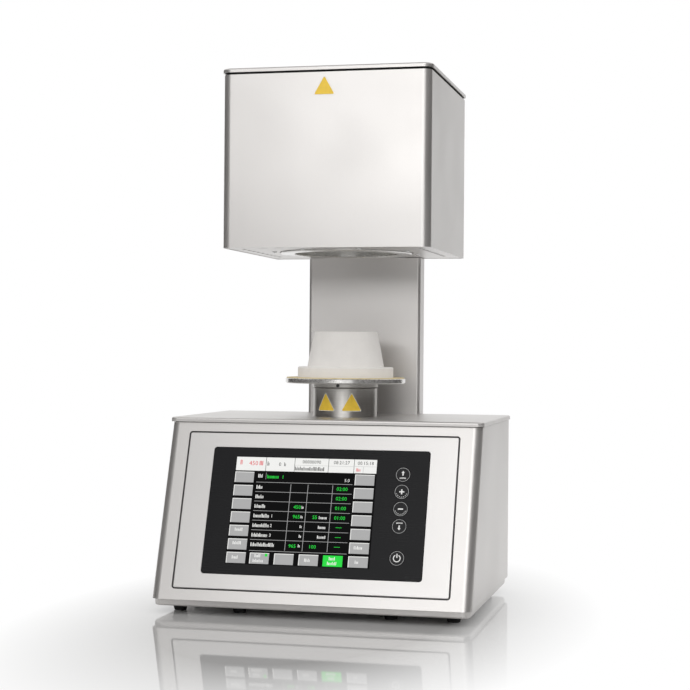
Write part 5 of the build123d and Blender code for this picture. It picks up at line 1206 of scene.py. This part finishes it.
@dataclass
class RubberFeet:
    """Six tapered rubber feet with a hollow sole, a screw in the hollow and a groove below the top."""

    tall: float = 8.8
    top_r: float = 9.2
    low_r: float = 7.2
    hollow_r: float = 4.4
    screw: Screw = Screw(2.8, 1.5, 1.0, 0.9)
    places: tuple[tuple[float, float], ...] = (
        (-164.5, -127.4), (-91.0, -127.4), (91.0, -127.4), (164.5, -127.4), (-164.5, 115.4), (164.5, 115.4))

    def side(self) -> list[tuple[float, float]]:
        """Return the profile from the hollow outwards and up: r grows evenly from low_r to top_r."""
        h = np.array([0.0, 0.5, 2.0, 4.0, 5.6, 5.9, 6.3, 6.6, 8.0, self.tall])
        r = self.low_r + (self.top_r - self.low_r) * h / self.tall
        r += np.array([-0.7, 0.0, 0.0, 0.0, 0.0, -0.45, -0.45, 0.0, 0.0, 0.0])
        return [(self.hollow_r, 3.4), (self.hollow_r + 0.5, 0.3), (self.hollow_r + 0.9, 0.0),
                *zip(r.tolist(), h.tolist())]

    def build(self) -> None:
        """Make the feet and the screws in them."""
        floor = np.array([(x, y, 0.0) for x, y in self.places])
        feet = turned(self.side(), 40).copies(floor)
        Part("rubber_feet", "housing", "rubber_black", Shading.BY_ANGLE, replaces=("feet",)).make(
            feet, Look.RUBBER.value)
        heads = self.screw.surface().at(Facing.DOWN.value).copies(floor + [0.0, 0.0, 3.35])
        Part("feet_screws", "housing", "zinc_sheet", Shading.BY_ANGLE).make(heads, Look.ZINC.value)


@dataclass
class MainsFittings:
    """Metal of the mains inlet and the pump outlet, the figures on the rocker and the fan's cap."""

    inlet: tuple[float, float] = (148.0, 48.0)
    face_y: float = 146.4
    blades: tuple[tuple[float, float], ...] = ((-7.0, 2.0), (7.0, 2.0), (0.0, -3.0))
    outlet: tuple[float, float] = (103.0, 66.0)
    slots: tuple[tuple[float, float], ...] = ((-7.0, 2.0), (7.0, 2.0), (0.0, -4.0))
    rocker: tuple[float, float, float] = (148.0, 143.9, 84.5)
    tilt: float = 8.0
    rise: float = 3.0
    reach: float = 8.6

    def sleeve(self, wide: float, high: float, start: float, length: float) -> Surface:
        """Return an upright strip of metal with a tapered tip, as a loft of rounded outlines.

        Row k is the outline scaled towards its middle by the taper of that row; rows run outwards.

        Args:
            wide: Half the thickness.
            high: Half the width.
            start: Height of its root above the place it is built at.
            length: How far it stands out.

        Returns:
            The closed surface, about the middle of the strip.
        """
        outline = rounded_outline([(-wide, -high), (wide, -high), (wide, high), (-wide, high)], 0.35, 4)
        rows = [(1.0, 0.0), (1.0, length - 1.4), (0.9, length - 0.5), (0.62, length)]
        grid = np.stack([np.column_stack([outline * [k, 1 - (1 - k) * 0.35], np.full(len(outline), start + z)])
                         for k, z in rows])
        return capped(grid)

    def figure_place(self, upper: bool) -> Place:
        """Return the middle of one half of the rocker's face, as it stands when it is off.

        The half runs from the ridge (rise, 0) to its tip (rise + reach tan tilt, +-reach), all turned by
        the tilt about the pivot.

        Args:
            upper: Whether it is the upper half.

        Returns:
            The place, its third axis standing out of the face.
        """
        way = 1.0 if upper else -1.0
        angle = math.radians(self.tilt)
        turn = np.array([[math.cos(angle), -math.sin(angle)], [math.sin(angle), math.cos(angle)]])
        ridge = turn @ np.array([self.rise, 0.0])
        tip = turn @ np.array([self.rise + self.reach * math.tan(angle), way * self.reach])
        up = way * (tip - ridge) / np.linalg.norm(tip - ridge)
        middle = (ridge + tip) / 2
        x, y, z = self.rocker
        return Place((x, y + middle[0], z + middle[1]), (-1.0, 0.0, 0.0), (0.0, up[0], up[1]))

    def build(self) -> None:
        """Make the blades, contacts, figures and the cap."""
        x, z = self.inlet
        blade = self.sleeve(1.12, 2.12, -15.9, 10.5).at(Facing.REAR.value)
        ends = np.array([(x + a, self.face_y, z + b) for a, b in self.blades])
        Part("inlet_blades", "housing", "ground_steel", Shading.BY_ANGLE).make(
            blade.copies(ends), Look.GROUND.value)
        x, z = self.outlet
        leaf = self.sleeve(0.35, 2.9, -13.9, 9.0).at(Facing.REAR.value)
        ends = np.array([(x + a + b, 143.4, z + c) for a, c in self.slots for b in (-0.75, 0.75)])
        Part("outlet_contacts", "housing", "bronze", Shading.BY_ANGLE).make(leaf.copies(ends), Look.BRONZE.value)
        for name, text, upper in (("rocker_figure_off", "0", True), ("rocker_figure_on", "1", False)):
            figure = figures(text, 4.6, 0.0, -2.3, -0.05, 0.1).at(self.figure_place(upper))
            Part(name, "rocker", "black_plastic").make(figure, Ink.WHITE.value)
        cap = turned([(14.6, 0.0), (14.6, 0.25), (14.2, 0.4), (12.6, 0.4), (12.3, 0.22), (4.2, 0.22), (4.0, 0.4)], 48)
        Part("fan_cap", "fan_wheel", "grey_plastic", Shading.BY_ANGLE).make(
            cap.at(Facing.REAR.value).copies(np.array([(-132.0, 138.35, 120.0)])), Look.GREY.value)


# ---- drive and electrics ----------------------------------------------------------------------
def hoop(path: np.ndarray, outward: np.ndarray, section: np.ndarray) -> Surface:
    """Carry a closed section round a level closed path.

    Point = path(i) + a * outward(i), at height b, for the section's point (a, b) at that place.

    Args:
        path: Points x, y, anticlockwise seen from above.
        outward: Unit directions x, y away from the loop's inside.
        section: Array of path points x section points x 2, clockwise in the outward and up axes.

    Returns:
        The closed surface.
    """
    flat = path[:, None] + section[..., :1] * outward[:, None]
    grid = np.concatenate([flat, section[..., 1:]], -1)
    return Surface(grid.reshape(-1, 3), [net(*grid.shape[:2], loop_rows=True)])


@dataclass
class DrivePieces:
    """Threaded lead screw and toothed belt of the lift."""

    low: float = 12.0
    shoulder: float = 32.8
    top: float = 207.7
    journal_r: float = 5.0
    screw_r: float = 6.0
    depth: float = 0.8
    lead: float = 10.0
    starts: int = 4
    pulley_x: float = 85.0
    belt_in: float = 14.3
    belt_t: float = 1.8
    belt_z: float = 14.2
    belt_w: float = 7.0
    teeth: int = 86
    tooth: float = 0.8

    def lead_screw(self) -> Surface:
        """Turn the screw: r = R - depth * groove, groove following z * starts / lead - starts * a / 360.

        The groove is 1 where 0.5 + 1.3 cos(phase) is above 1, 0 where it is below 0, and slopes between.
        """
        sides, run_out = 32, 3.0
        per_turn = self.lead / self.starts
        rows = int((self.top - self.shoulder) / per_turn) * 7
        z = np.linspace(self.shoulder, self.top, rows)
        angle = np.linspace(0, 2 * math.pi, sides, endpoint=False)
        phase = 2 * math.pi * z[:, None] / per_turn - self.starts * angle[None, :]
        groove = np.clip(0.5 + 1.3 * np.cos(phase), 0, 1)
        fade = np.clip((z - self.shoulder) / run_out, 0, 1)[:, None]
        chamfer = np.clip((z - self.top + 1.5) / 1.5, 0, 1)[:, None]
        factor = 1 - (self.depth * groove * fade + 1.2 * chamfer) / self.screw_r
        profile = [(self.journal_r - 0.4, self.low), (self.journal_r, self.low + 0.4),
                   (self.journal_r, self.shoulder), *[(self.screw_r, h) for h in z]]
        shape = np.concatenate([np.ones((3, sides)), factor])
        return turned(profile, sides, shape=shape)

    def belt(self) -> Surface:
        """Carry the belt's section round both pulleys, its inside cut back between the teeth.

        The middle line is two straights joined by half circles; along it the inner edge lies at
        tooth * (0.5 + 0.5 sign-like wave) beyond the belt's inner face.
        """
        turn = math.pi * self.belt_in
        whole = 2 * (self.pulley_x + turn)
        s = np.linspace(0, whole, self.teeth * 8, endpoint=False)
        right = np.clip((s - self.pulley_x) / turn, 0, 1) * math.pi
        left = np.clip((s - 2 * self.pulley_x - turn) / turn, 0, 1) * math.pi
        angle = right + left - math.pi / 2
        forth = np.clip(s, 0, self.pulley_x)
        back = np.clip(s - self.pulley_x - turn, 0, self.pulley_x)
        outward = np.stack([np.cos(angle), np.sin(angle)], -1)
        path = np.stack([forth - back, np.full_like(s, LIFT_Y)], -1)
        wave = np.clip(0.5 + 1.4 * np.cos(2 * math.pi * s / whole * self.teeth), 0, 1)
        inner = self.belt_in + self.tooth * wave
        outer = np.full_like(s, self.belt_in + self.belt_t)
        z0, z1 = np.full_like(s, self.belt_z), np.full_like(s, self.belt_z + self.belt_w)
        section = np.stack([np.stack([inner, z1], -1), np.stack([outer, z1], -1),
                            np.stack([outer, z0], -1), np.stack([inner, z0], -1)], 1)
        return hoop(path, outward, section)

    def build(self) -> None:
        """Make the screw and the belt in place of the plain ones."""
        screw = self.lead_screw().moved(0.0, LIFT_Y)
        Part("lead_screw_thread", "spindle", "ground_steel", Shading.BY_ANGLE, replaces=("lead_screw",)).make(
            screw, Look.GROUND.value)
        Part("toothed_belt", "housing", "belt_black", Shading.BY_ANGLE, replaces=("drive_belt",)).make(
            self.belt(), Look.BELT.value)


@dataclass
class HeatingWire:
    """Wire in the hollows between the ribs of the muffle."""

    reach: float = 50.95
    thick: float = 0.45
    top: float = 562.7
    pitch: float = 11.856
    turns: int = 8

    def build(self) -> None:
        """Carry a circle along a stepped helix: it keeps to a hollow, then crosses to the next one."""
        t = np.linspace(1, self.turns, (self.turns - 1) * 72)
        step = np.clip((t % 1 - 0.84) / 0.16, 0, 1)
        down = np.floor(t) + step * step * (3 - 2 * step)
        path = np.stack([self.reach * np.cos(2 * math.pi * t), LIFT_Y + self.reach * np.sin(2 * math.pi * t),
                         self.top - self.pitch * down], -1)
        Part("heating_wire", "housing", "bronze", Shading.SMOOTH).make(tube(path, self.thick, 8), Look.WIRE.value)


@dataclass
class RingTransformer:
    """Ring core wound in tape that overlaps turn by turn, with its filling, dish, nut and bolt."""

    x: float = 128.0
    y: float = -70.9
    low: float = 10.3
    tall: float = 46.0
    outer: float = 48.0
    inner: float = 20.0
    bend: float = 5.0
    wraps: int = 46
    tape: float = 0.35

    def wound(self) -> Surface:
        """Carry the rounded section round the ring; each wrap rises by the tape's thickness and drops.

        Offset = -tape * (wraps * a / 360 + place along the section) mod 1, so the edges run aslant.
        """
        corners = [(self.inner, self.low), (self.outer, self.low), (self.outer, self.low + self.tall),
                   (self.inner, self.low + self.tall)]
        outline = rounded_outline(corners, self.bend, 6)[::-1]
        run = np.roll(outline, -1, 0) - np.roll(outline, 1, 0)
        away = np.stack([-run[:, 1], run[:, 0]], -1) / np.linalg.norm(run, axis=1)[:, None]
        columns = self.wraps * 7
        angle = np.linspace(0, 2 * math.pi, columns, endpoint=False)
        share = np.linspace(0, 1, len(outline), endpoint=False)
        lap = (np.arange(columns)[:, None] / 7 + share[None, :]) % 1
        section = outline[None] - self.tape * lap[..., None] * away[None]
        outward = np.stack([np.cos(angle), np.sin(angle)], -1)
        return hoop(np.tile([self.x, self.y], (columns, 1)), outward, section)

    def build(self) -> None:
        """Make the ring in place of the plain one, and what holds it."""
        floor = self.low + 0.1
        Part("transformer_winding", "housing", "winding_tape", Shading.BY_ANGLE,
             replaces=("heater_transformer",)).make(self.wound(), Look.TAPE.value)
        fill = turned([(20.2, floor), (20.2, 39.4), (19.0, 39.9), (8.0, 40.1)], 48)
        Part("transformer_filling", "housing", "grey_plastic", Shading.BY_ANGLE).make(
            fill.moved(self.x, self.y), Look.GREY.value)
        hexagon = 1 / np.cos(np.linspace(0, 2 * math.pi, 36, endpoint=False) % (math.pi / 3) - math.pi / 6)
        nut = turned([(6.0, 41.7), (6.5, 42.0), (6.5, 46.4), (6.0, 46.8)], 36, shape=np.tile(hexagon, (4, 1)))
        dish = turned([(15.5, 40.0), (16.0, 40.3), (16.0, 40.9), (12.0, 41.7), (7.0, 41.8)], 48)
        ridges = np.arange(46.8, 60.0, 0.4)
        bolt = [(3.7 + 0.3 * (i % 2), z) for i, z in enumerate(ridges.tolist())]
        rod = turned([*bolt, (3.2, 60.3)], 24)
        Part("transformer_clamp", "housing", "zinc_sheet", Shading.BY_ANGLE).make(
            joined(dish, nut, rod).moved(self.x, self.y), Look.ZINC.value)


@dataclass
class BoardParts:
    """Chips, resistors, capacitor tops and terminal screws on the main circuit board."""

    top: float = 21.9
    chips: tuple[tuple[float, float], ...] = ((-125.0, -36.0), (-125.0, -4.0))
    chip: tuple[float, float, float] = (5.0, 11.0, 3.4)
    legs: int = 8
    caps: tuple[tuple[float, float], ...] = ((-102.0, -30.9), (-102.0, 3.1))
    cap_top: float = 48.3
    block_top: float = 31.9

    def chip_legs(self) -> Surface:
        """Return both rows of legs of one chip, each a narrow plate from the body down to the board."""
        y = np.linspace(-self.chip[1] + 2.0, self.chip[1] - 2.0, self.legs)
        x = self.chip[0]
        return joined(plates(x - 0.1, x + 1.3, y - 0.35, y + 0.35, 0.0, 1.8, 0.2),
                      plates(-x - 1.3, -x + 0.1, y - 0.35, y + 0.35, 0.0, 1.8, 0.2))

    def build(self) -> None:
        """Place all the parts on the board."""
        w, l, h = self.chip
        body = slab(np.array([(-w, -l), (w, -l), (w, l), (1.2, l), (0.8, l - 0.9), (-0.8, l - 0.9), (-1.2, l), (-w, l)]),
                    0.7, h, 0.3)
        at = np.array([(x, y, self.top) for x, y in self.chips])
        Part("board_chips", "housing", "black_plastic").make(body.copies(at), Look.BLACK.value)
        Part("board_chip_legs", "housing", "zinc_sheet").make(self.chip_legs().copies(at), Look.ZINC.value)
        grain = turned([(0.6, -3.1), (1.15, -2.9), (1.2, -2.0), (1.0, -1.6), (1.0, 1.6), (1.2, 2.0), (1.15, 2.9), (0.6, 3.1)], 14)
        lying = grain.at(Place(across=(0.0, 1.0, 0.0), along=(0.0, 0.0, 1.0)))
        rows = spots([-133.0, -125.0, -117.0], np.arange(18.0, 44.0, 3.6).tolist(), [self.top + 1.2])
        Part("board_resistors", "housing", "bush_white", Shading.BY_ANGLE).make(lying.copies(rows), Look.BUSH.value)
        score = turned([(9.2, 0.0), (9.2, 0.2), (8.8, 0.3), (1.0, 0.3)], 36)
        Part("capacitor_tops", "housing", "zinc_sheet", Shading.BY_ANGLE).make(
            score.copies(np.array([(x, y, self.cap_top) for x, y in self.caps])), Look.ZINC.value)
        heads = Screw(2.6, 1.0, 0.9, 0.7).surface().copies(spots([-124, -117, -110, -103, -96], [57.1], [self.block_top]))
        Part("terminal_screws", "housing", "zinc_sheet", Shading.BY_ANGLE).make(heads, Look.ZINC.value)


# ---- studio -----------------------------------------------------------------------------------
@dataclass
class Lamp:
    """A soft rectangular lamp: place, size, power in watts and where it points, in metres."""

    name: str
    place: tuple[float, float, float]
    size: tuple[float, float]
    power: float
    target: tuple[float, float, float] = (0.0, 0.0, 0.33)
    in_gloss: bool = True

    def build(self) -> None:
        """Hang the lamp and turn it to its target."""
        light = bpy.data.lights.new(self.name, "AREA")
        light.shape = "RECTANGLE"
        light.size, light.size_y = self.size
        light.energy = self.power
        lamp = bpy.data.objects.new(self.name, light)
        lamp.location = self.place
        lamp.rotation_euler = (Vector(self.target) - Vector(self.place)).to_track_quat("-Z", "Y").to_euler()
        lamp.visible_glossy = self.in_gloss
        bpy.context.scene.collection.objects.link(lamp)


@dataclass
class Camera:
    """The camera at the photograph's place, in millimetres and degrees."""

    place: tuple[float, float, float] = (469.18, -1976.14, 309.63)
    yaw: float = 13.25
    pitch: float = 0.19
    roll: float = 0.48
    lens: float = 85.206
    sensor: float = 36.0

    def build(self) -> None:
        """Make the camera: it looks yaw to the left of +Y and pitch above level, turned by roll."""
        yaw, pitch, roll = (math.radians(v) for v in (self.yaw, self.pitch, self.roll))
        ahead = Vector((-math.sin(yaw) * math.cos(pitch), math.cos(yaw) * math.cos(pitch), math.sin(pitch)))
        level = Vector((math.cos(yaw), math.sin(yaw), 0.0))
        upright = level.cross(ahead)
        right = math.cos(roll) * level + math.sin(roll) * upright
        top = math.cos(roll) * upright - math.sin(roll) * level
        lens = bpy.data.cameras.new("camera")
        lens.lens, lens.sensor_width, lens.clip_end = self.lens, self.sensor, 100.0
        camera = bpy.data.objects.new("camera", lens)
        turn = Matrix((right, top, -ahead)).transposed().to_4x4()
        camera.matrix_world = Matrix.Translation(Vector(self.place) * MM) @ turn
        bpy.context.scene.collection.objects.link(camera)
        bpy.context.scene.camera = camera


@dataclass
class Screen:
    """A dark upright cloth that only gloss sees: where it stands round the furnace, and its height."""

    name: str
    turn: float  # degrees from -Y towards +X
    spread: float  # degrees
    top: float  # metres
    reach: float = 2.3
    colour: Colour = (0.045, 0.04, 0.038)
    soft_side: float = 7.0  # degrees in which either end thins out
    soft_top: float = 0.3  # share of the height in which the top thins out

    def cloth(self) -> bpy.types.Material:
        """Return the cloth's material, which thins out towards its ends and its top."""
        tree = Tree(self.name)
        tree.set(Base_Color=self.colour, Roughness=1.0, Specular_IOR_Level=0.0)
        split = tree.nodes.new("ShaderNodeSeparateXYZ")
        tree.links.new(tree.place, split.inputs[0])
        angle = tree.calc("ARCTAN2", split.outputs[0], tree.calc("MULTIPLY", split.outputs[1], -1.0))
        off = tree.calc("ABSOLUTE", tree.calc("SUBTRACT", angle, math.radians(self.turn)))
        ends = [math.radians(self.spread / 2 - soft) for soft in (self.soft_side, 0.0)]
        side = tree.span(off, 1.0, 0.0, *ends)
        upper = tree.span(split.outputs[2], 1.0, 0.0, self.top * (1 - self.soft_top), self.top)
        tree.feed("Alpha", tree.calc("MULTIPLY", side, upper))
        return tree.material

    def build(self) -> None:
        """Hang the cloth along an arc: point = reach * (sin a, -cos a), at two heights."""
        angle = np.radians(np.linspace(self.turn - self.spread / 2, self.turn + self.spread / 2, 9))
        foot = np.stack([self.reach * np.sin(angle), -self.reach * np.cos(angle), np.zeros(9)], -1)
        points = np.concatenate([foot, foot + [0.0, 0.0, self.top]])
        mesh = bpy.data.meshes.new(self.name)
        mesh.from_pydata(points.tolist(), [], net(2, 9, loop_columns=False).tolist())
        mesh.materials.append(self.cloth())
        screen = bpy.data.objects.new(self.name, mesh)
        bpy.context.scene.collection.objects.link(screen)
        screen.visible_camera = screen.visible_diffuse = screen.visible_shadow = False


def level_sheet(name: str, half: float, height: float) -> bpy.types.Object:
    """Return a level square sheet: a grid over x and y from -half to half, at one height.

    Args:
        name: Its name.
        half: Half of its side, in metres.
        height: Its height.

    Returns:
        The sheet's object, without a material.
    """
    edge = np.linspace(-half, half, 9)
    x, y = np.meshgrid(edge, edge, indexing="xy")
    points = np.stack([x, y, np.full_like(x, height)], -1).reshape(-1, 3)
    mesh = bpy.data.meshes.new(name)
    mesh.from_pydata(points.tolist(), [], net(9, 9, loop_columns=False).tolist())
    sheet = bpy.data.objects.new(name, mesh)
    bpy.context.scene.collection.objects.link(sheet)
    return sheet


@dataclass
class Canopy:
    """A dark level cloth overhead that only gloss sees, thinning out from its middle."""

    height: float = 2.9
    clear: tuple[float, float] = (0.9, 1.5)  # it thins out between these distances from the middle
    colour: Colour = (0.045, 0.04, 0.038)

    def build(self) -> None:
        """Hang the cloth."""
        canopy = level_sheet("canopy", self.clear[1], self.height)
        tree = Tree("canopy")
        tree.set(Base_Color=self.colour, Roughness=1.0, Specular_IOR_Level=0.0)
        out = tree.nodes.new("ShaderNodeVectorMath")
        out.operation = "LENGTH"
        tree.links.new(tree.stretched(1.0, 1.0, 0.0), out.inputs[0])
        tree.feed("Alpha", tree.span(out.outputs["Value"], 1.0, 0.0, *self.clear))
        canopy.data.materials.append(tree.material)
        canopy.visible_camera = canopy.visible_diffuse = canopy.visible_shadow = False


def seen_ray(tree: bpy.types.NodeTree) -> bpy.types.NodeSocket:
    """Return what is 1 for the camera, gloss and glass, and 0 for soft light.

    Args:
        tree: The shader or world nodes that get it.

    Returns:
        The larger of Is Camera Ray, Is Glossy Ray and Is Transmission Ray.
    """
    path = tree.nodes.new("ShaderNodeLightPath")
    seen = path.outputs["Is Camera Ray"]
    for name in ("Is Glossy Ray", "Is Transmission Ray"):
        either = tree.nodes.new("ShaderNodeMath")
        either.operation = "MAXIMUM"
        tree.links.new(seen, either.inputs[0])
        tree.links.new(path.outputs[name], either.inputs[1])
        seen = either.outputs[0]
    return seen


@dataclass
class Studio:
    """Pale floor, white surroundings, soft lamps and dark cloths beside and below the camera."""

    floor_size: float = 30.0
    floor_colour: Colour = (0.45, 0.444, 0.438)
    floor_shape: tuple[float, float, float] = (2.0, 1.05, 1.0)
    floor_middle: float = -0.13  # along Y
    floor_real: tuple[float, float] = (0.32, 0.66)  # the floor turns into the white surround between these
    around: float = 0.95
    lamps: tuple[Lamp, ...] = (
        Lamp("lamp_front", (-0.3, -2.7, 0.93), (1.3, 0.4), 5.6, (0.0, 0.1, 0.38)),
        Lamp("lamp_right", (0.55, -2.6, 1.85), (1.5, 1.5), 12.0),
        Lamp("lamp_top", (0.1, 0.1, 2.6), (3.0, 2.8), 13.0, in_gloss=False))
    screens: tuple[Screen, ...] = (
        Screen("screen_left", -79.0, 108.0, 2.2), Screen("screen_right", 88.0, 130.0, 2.2),
        Screen("screen_low", -18.0, 28.0, 0.8))

    def ground(self) -> None:
        """Lay the floor: a pale, faintly glossy sheet with a soft unevenness."""
        floor = level_sheet("floor", self.floor_size / 2, 0.0)
        tree = Tree("floor")
        tree.set(Base_Color=self.floor_colour, Specular_IOR_Level=0.6)
        tree.feed("Roughness", tree.span(tree.noise(3.0), 0.03, 0.05))
        near = tree.nodes.new("ShaderNodeVectorMath")
        near.operation = "LENGTH"
        place = tree.stretched(*self.floor_shape)
        place.node.inputs["Location"].default_value = (0.0, -self.floor_middle * self.floor_shape[1], 0.0)
        tree.links.new(place, near.inputs[0])
        far = tree.span(near.outputs["Value"], 0.0, 1.0, *self.floor_real)
        white = tree.nodes.new("ShaderNodeEmission")
        mix = tree.nodes.new("ShaderNodeMixShader")
        tree.links.new(tree.calc("MULTIPLY", far, seen_ray(tree.material.node_tree)), mix.inputs[0])
        tree.links.new(tree.shader.outputs[0], mix.inputs[1])
        tree.links.new(white.outputs[0], mix.inputs[2])
        tree.links.new(mix.outputs[0], tree.nodes["Material Output"].inputs["Surface"])
        floor.data.materials.append(tree.material)

    def surroundings(self) -> None:
        """Give the camera, gloss and glass a white surround, and everything else its soft part of it."""
        world = bpy.data.worlds.new("surroundings")
        world.use_nodes = True
        nodes, links = world.node_tree.nodes, world.node_tree.links
        soft = nodes["Background"]
        soft.inputs["Color"].default_value = (1.0, 1.0, 1.0, 1.0)
        soft.inputs["Strength"].default_value = self.around
        white = nodes.new("ShaderNodeBackground")
        white.inputs["Color"].default_value = (1.0, 1.0, 1.0, 1.0)
        mix = nodes.new("ShaderNodeMixShader")
        links.new(seen_ray(world.node_tree), mix.inputs[0])
        links.new(soft.outputs[0], mix.inputs[1])
        links.new(white.outputs[0], mix.inputs[2])
        links.new(mix.outputs[0], nodes["World Output"].inputs["Surface"])
        bpy.context.scene.world = world

    def build(self) -> None:
        """Set up the whole studio."""
        self.ground()
        self.surroundings()
        for screen in self.screens:
            screen.build()
        Canopy().build()
        for lamp in self.lamps:
            lamp.build()
        bpy.context.scene.view_settings.view_transform = "Standard"


def dress_nodes(frame: dict) -> None:
    """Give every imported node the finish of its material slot.
    """
    looks = {look.value.name: look for look in Look}
    for row in frame["record"]["subparts"]:
        looks[row["material_slot"]].dress(frame["nodes"][row["node"]])
        LOG.info("%s: %s", row["node"], row["material_slot"])


def main() -> None:
    """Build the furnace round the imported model."""
    logging.basicConfig(level=logging.INFO, format="%(name)s %(message)s")
    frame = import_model()
    Camera().build()
    Studio().build()
    dress_nodes(frame)
    for assembly in (DisplayImage(), KeyPrints(), TrianglePlates(), Fasteners(), RubberFeet(), MainsFittings(),
                     DrivePieces(), HeatingWire(), RingTransformer(), BoardParts()):
        LOG.info("%s", type(assembly).__name__)
        assembly.build()


if __name__ == "__main__":
    main()
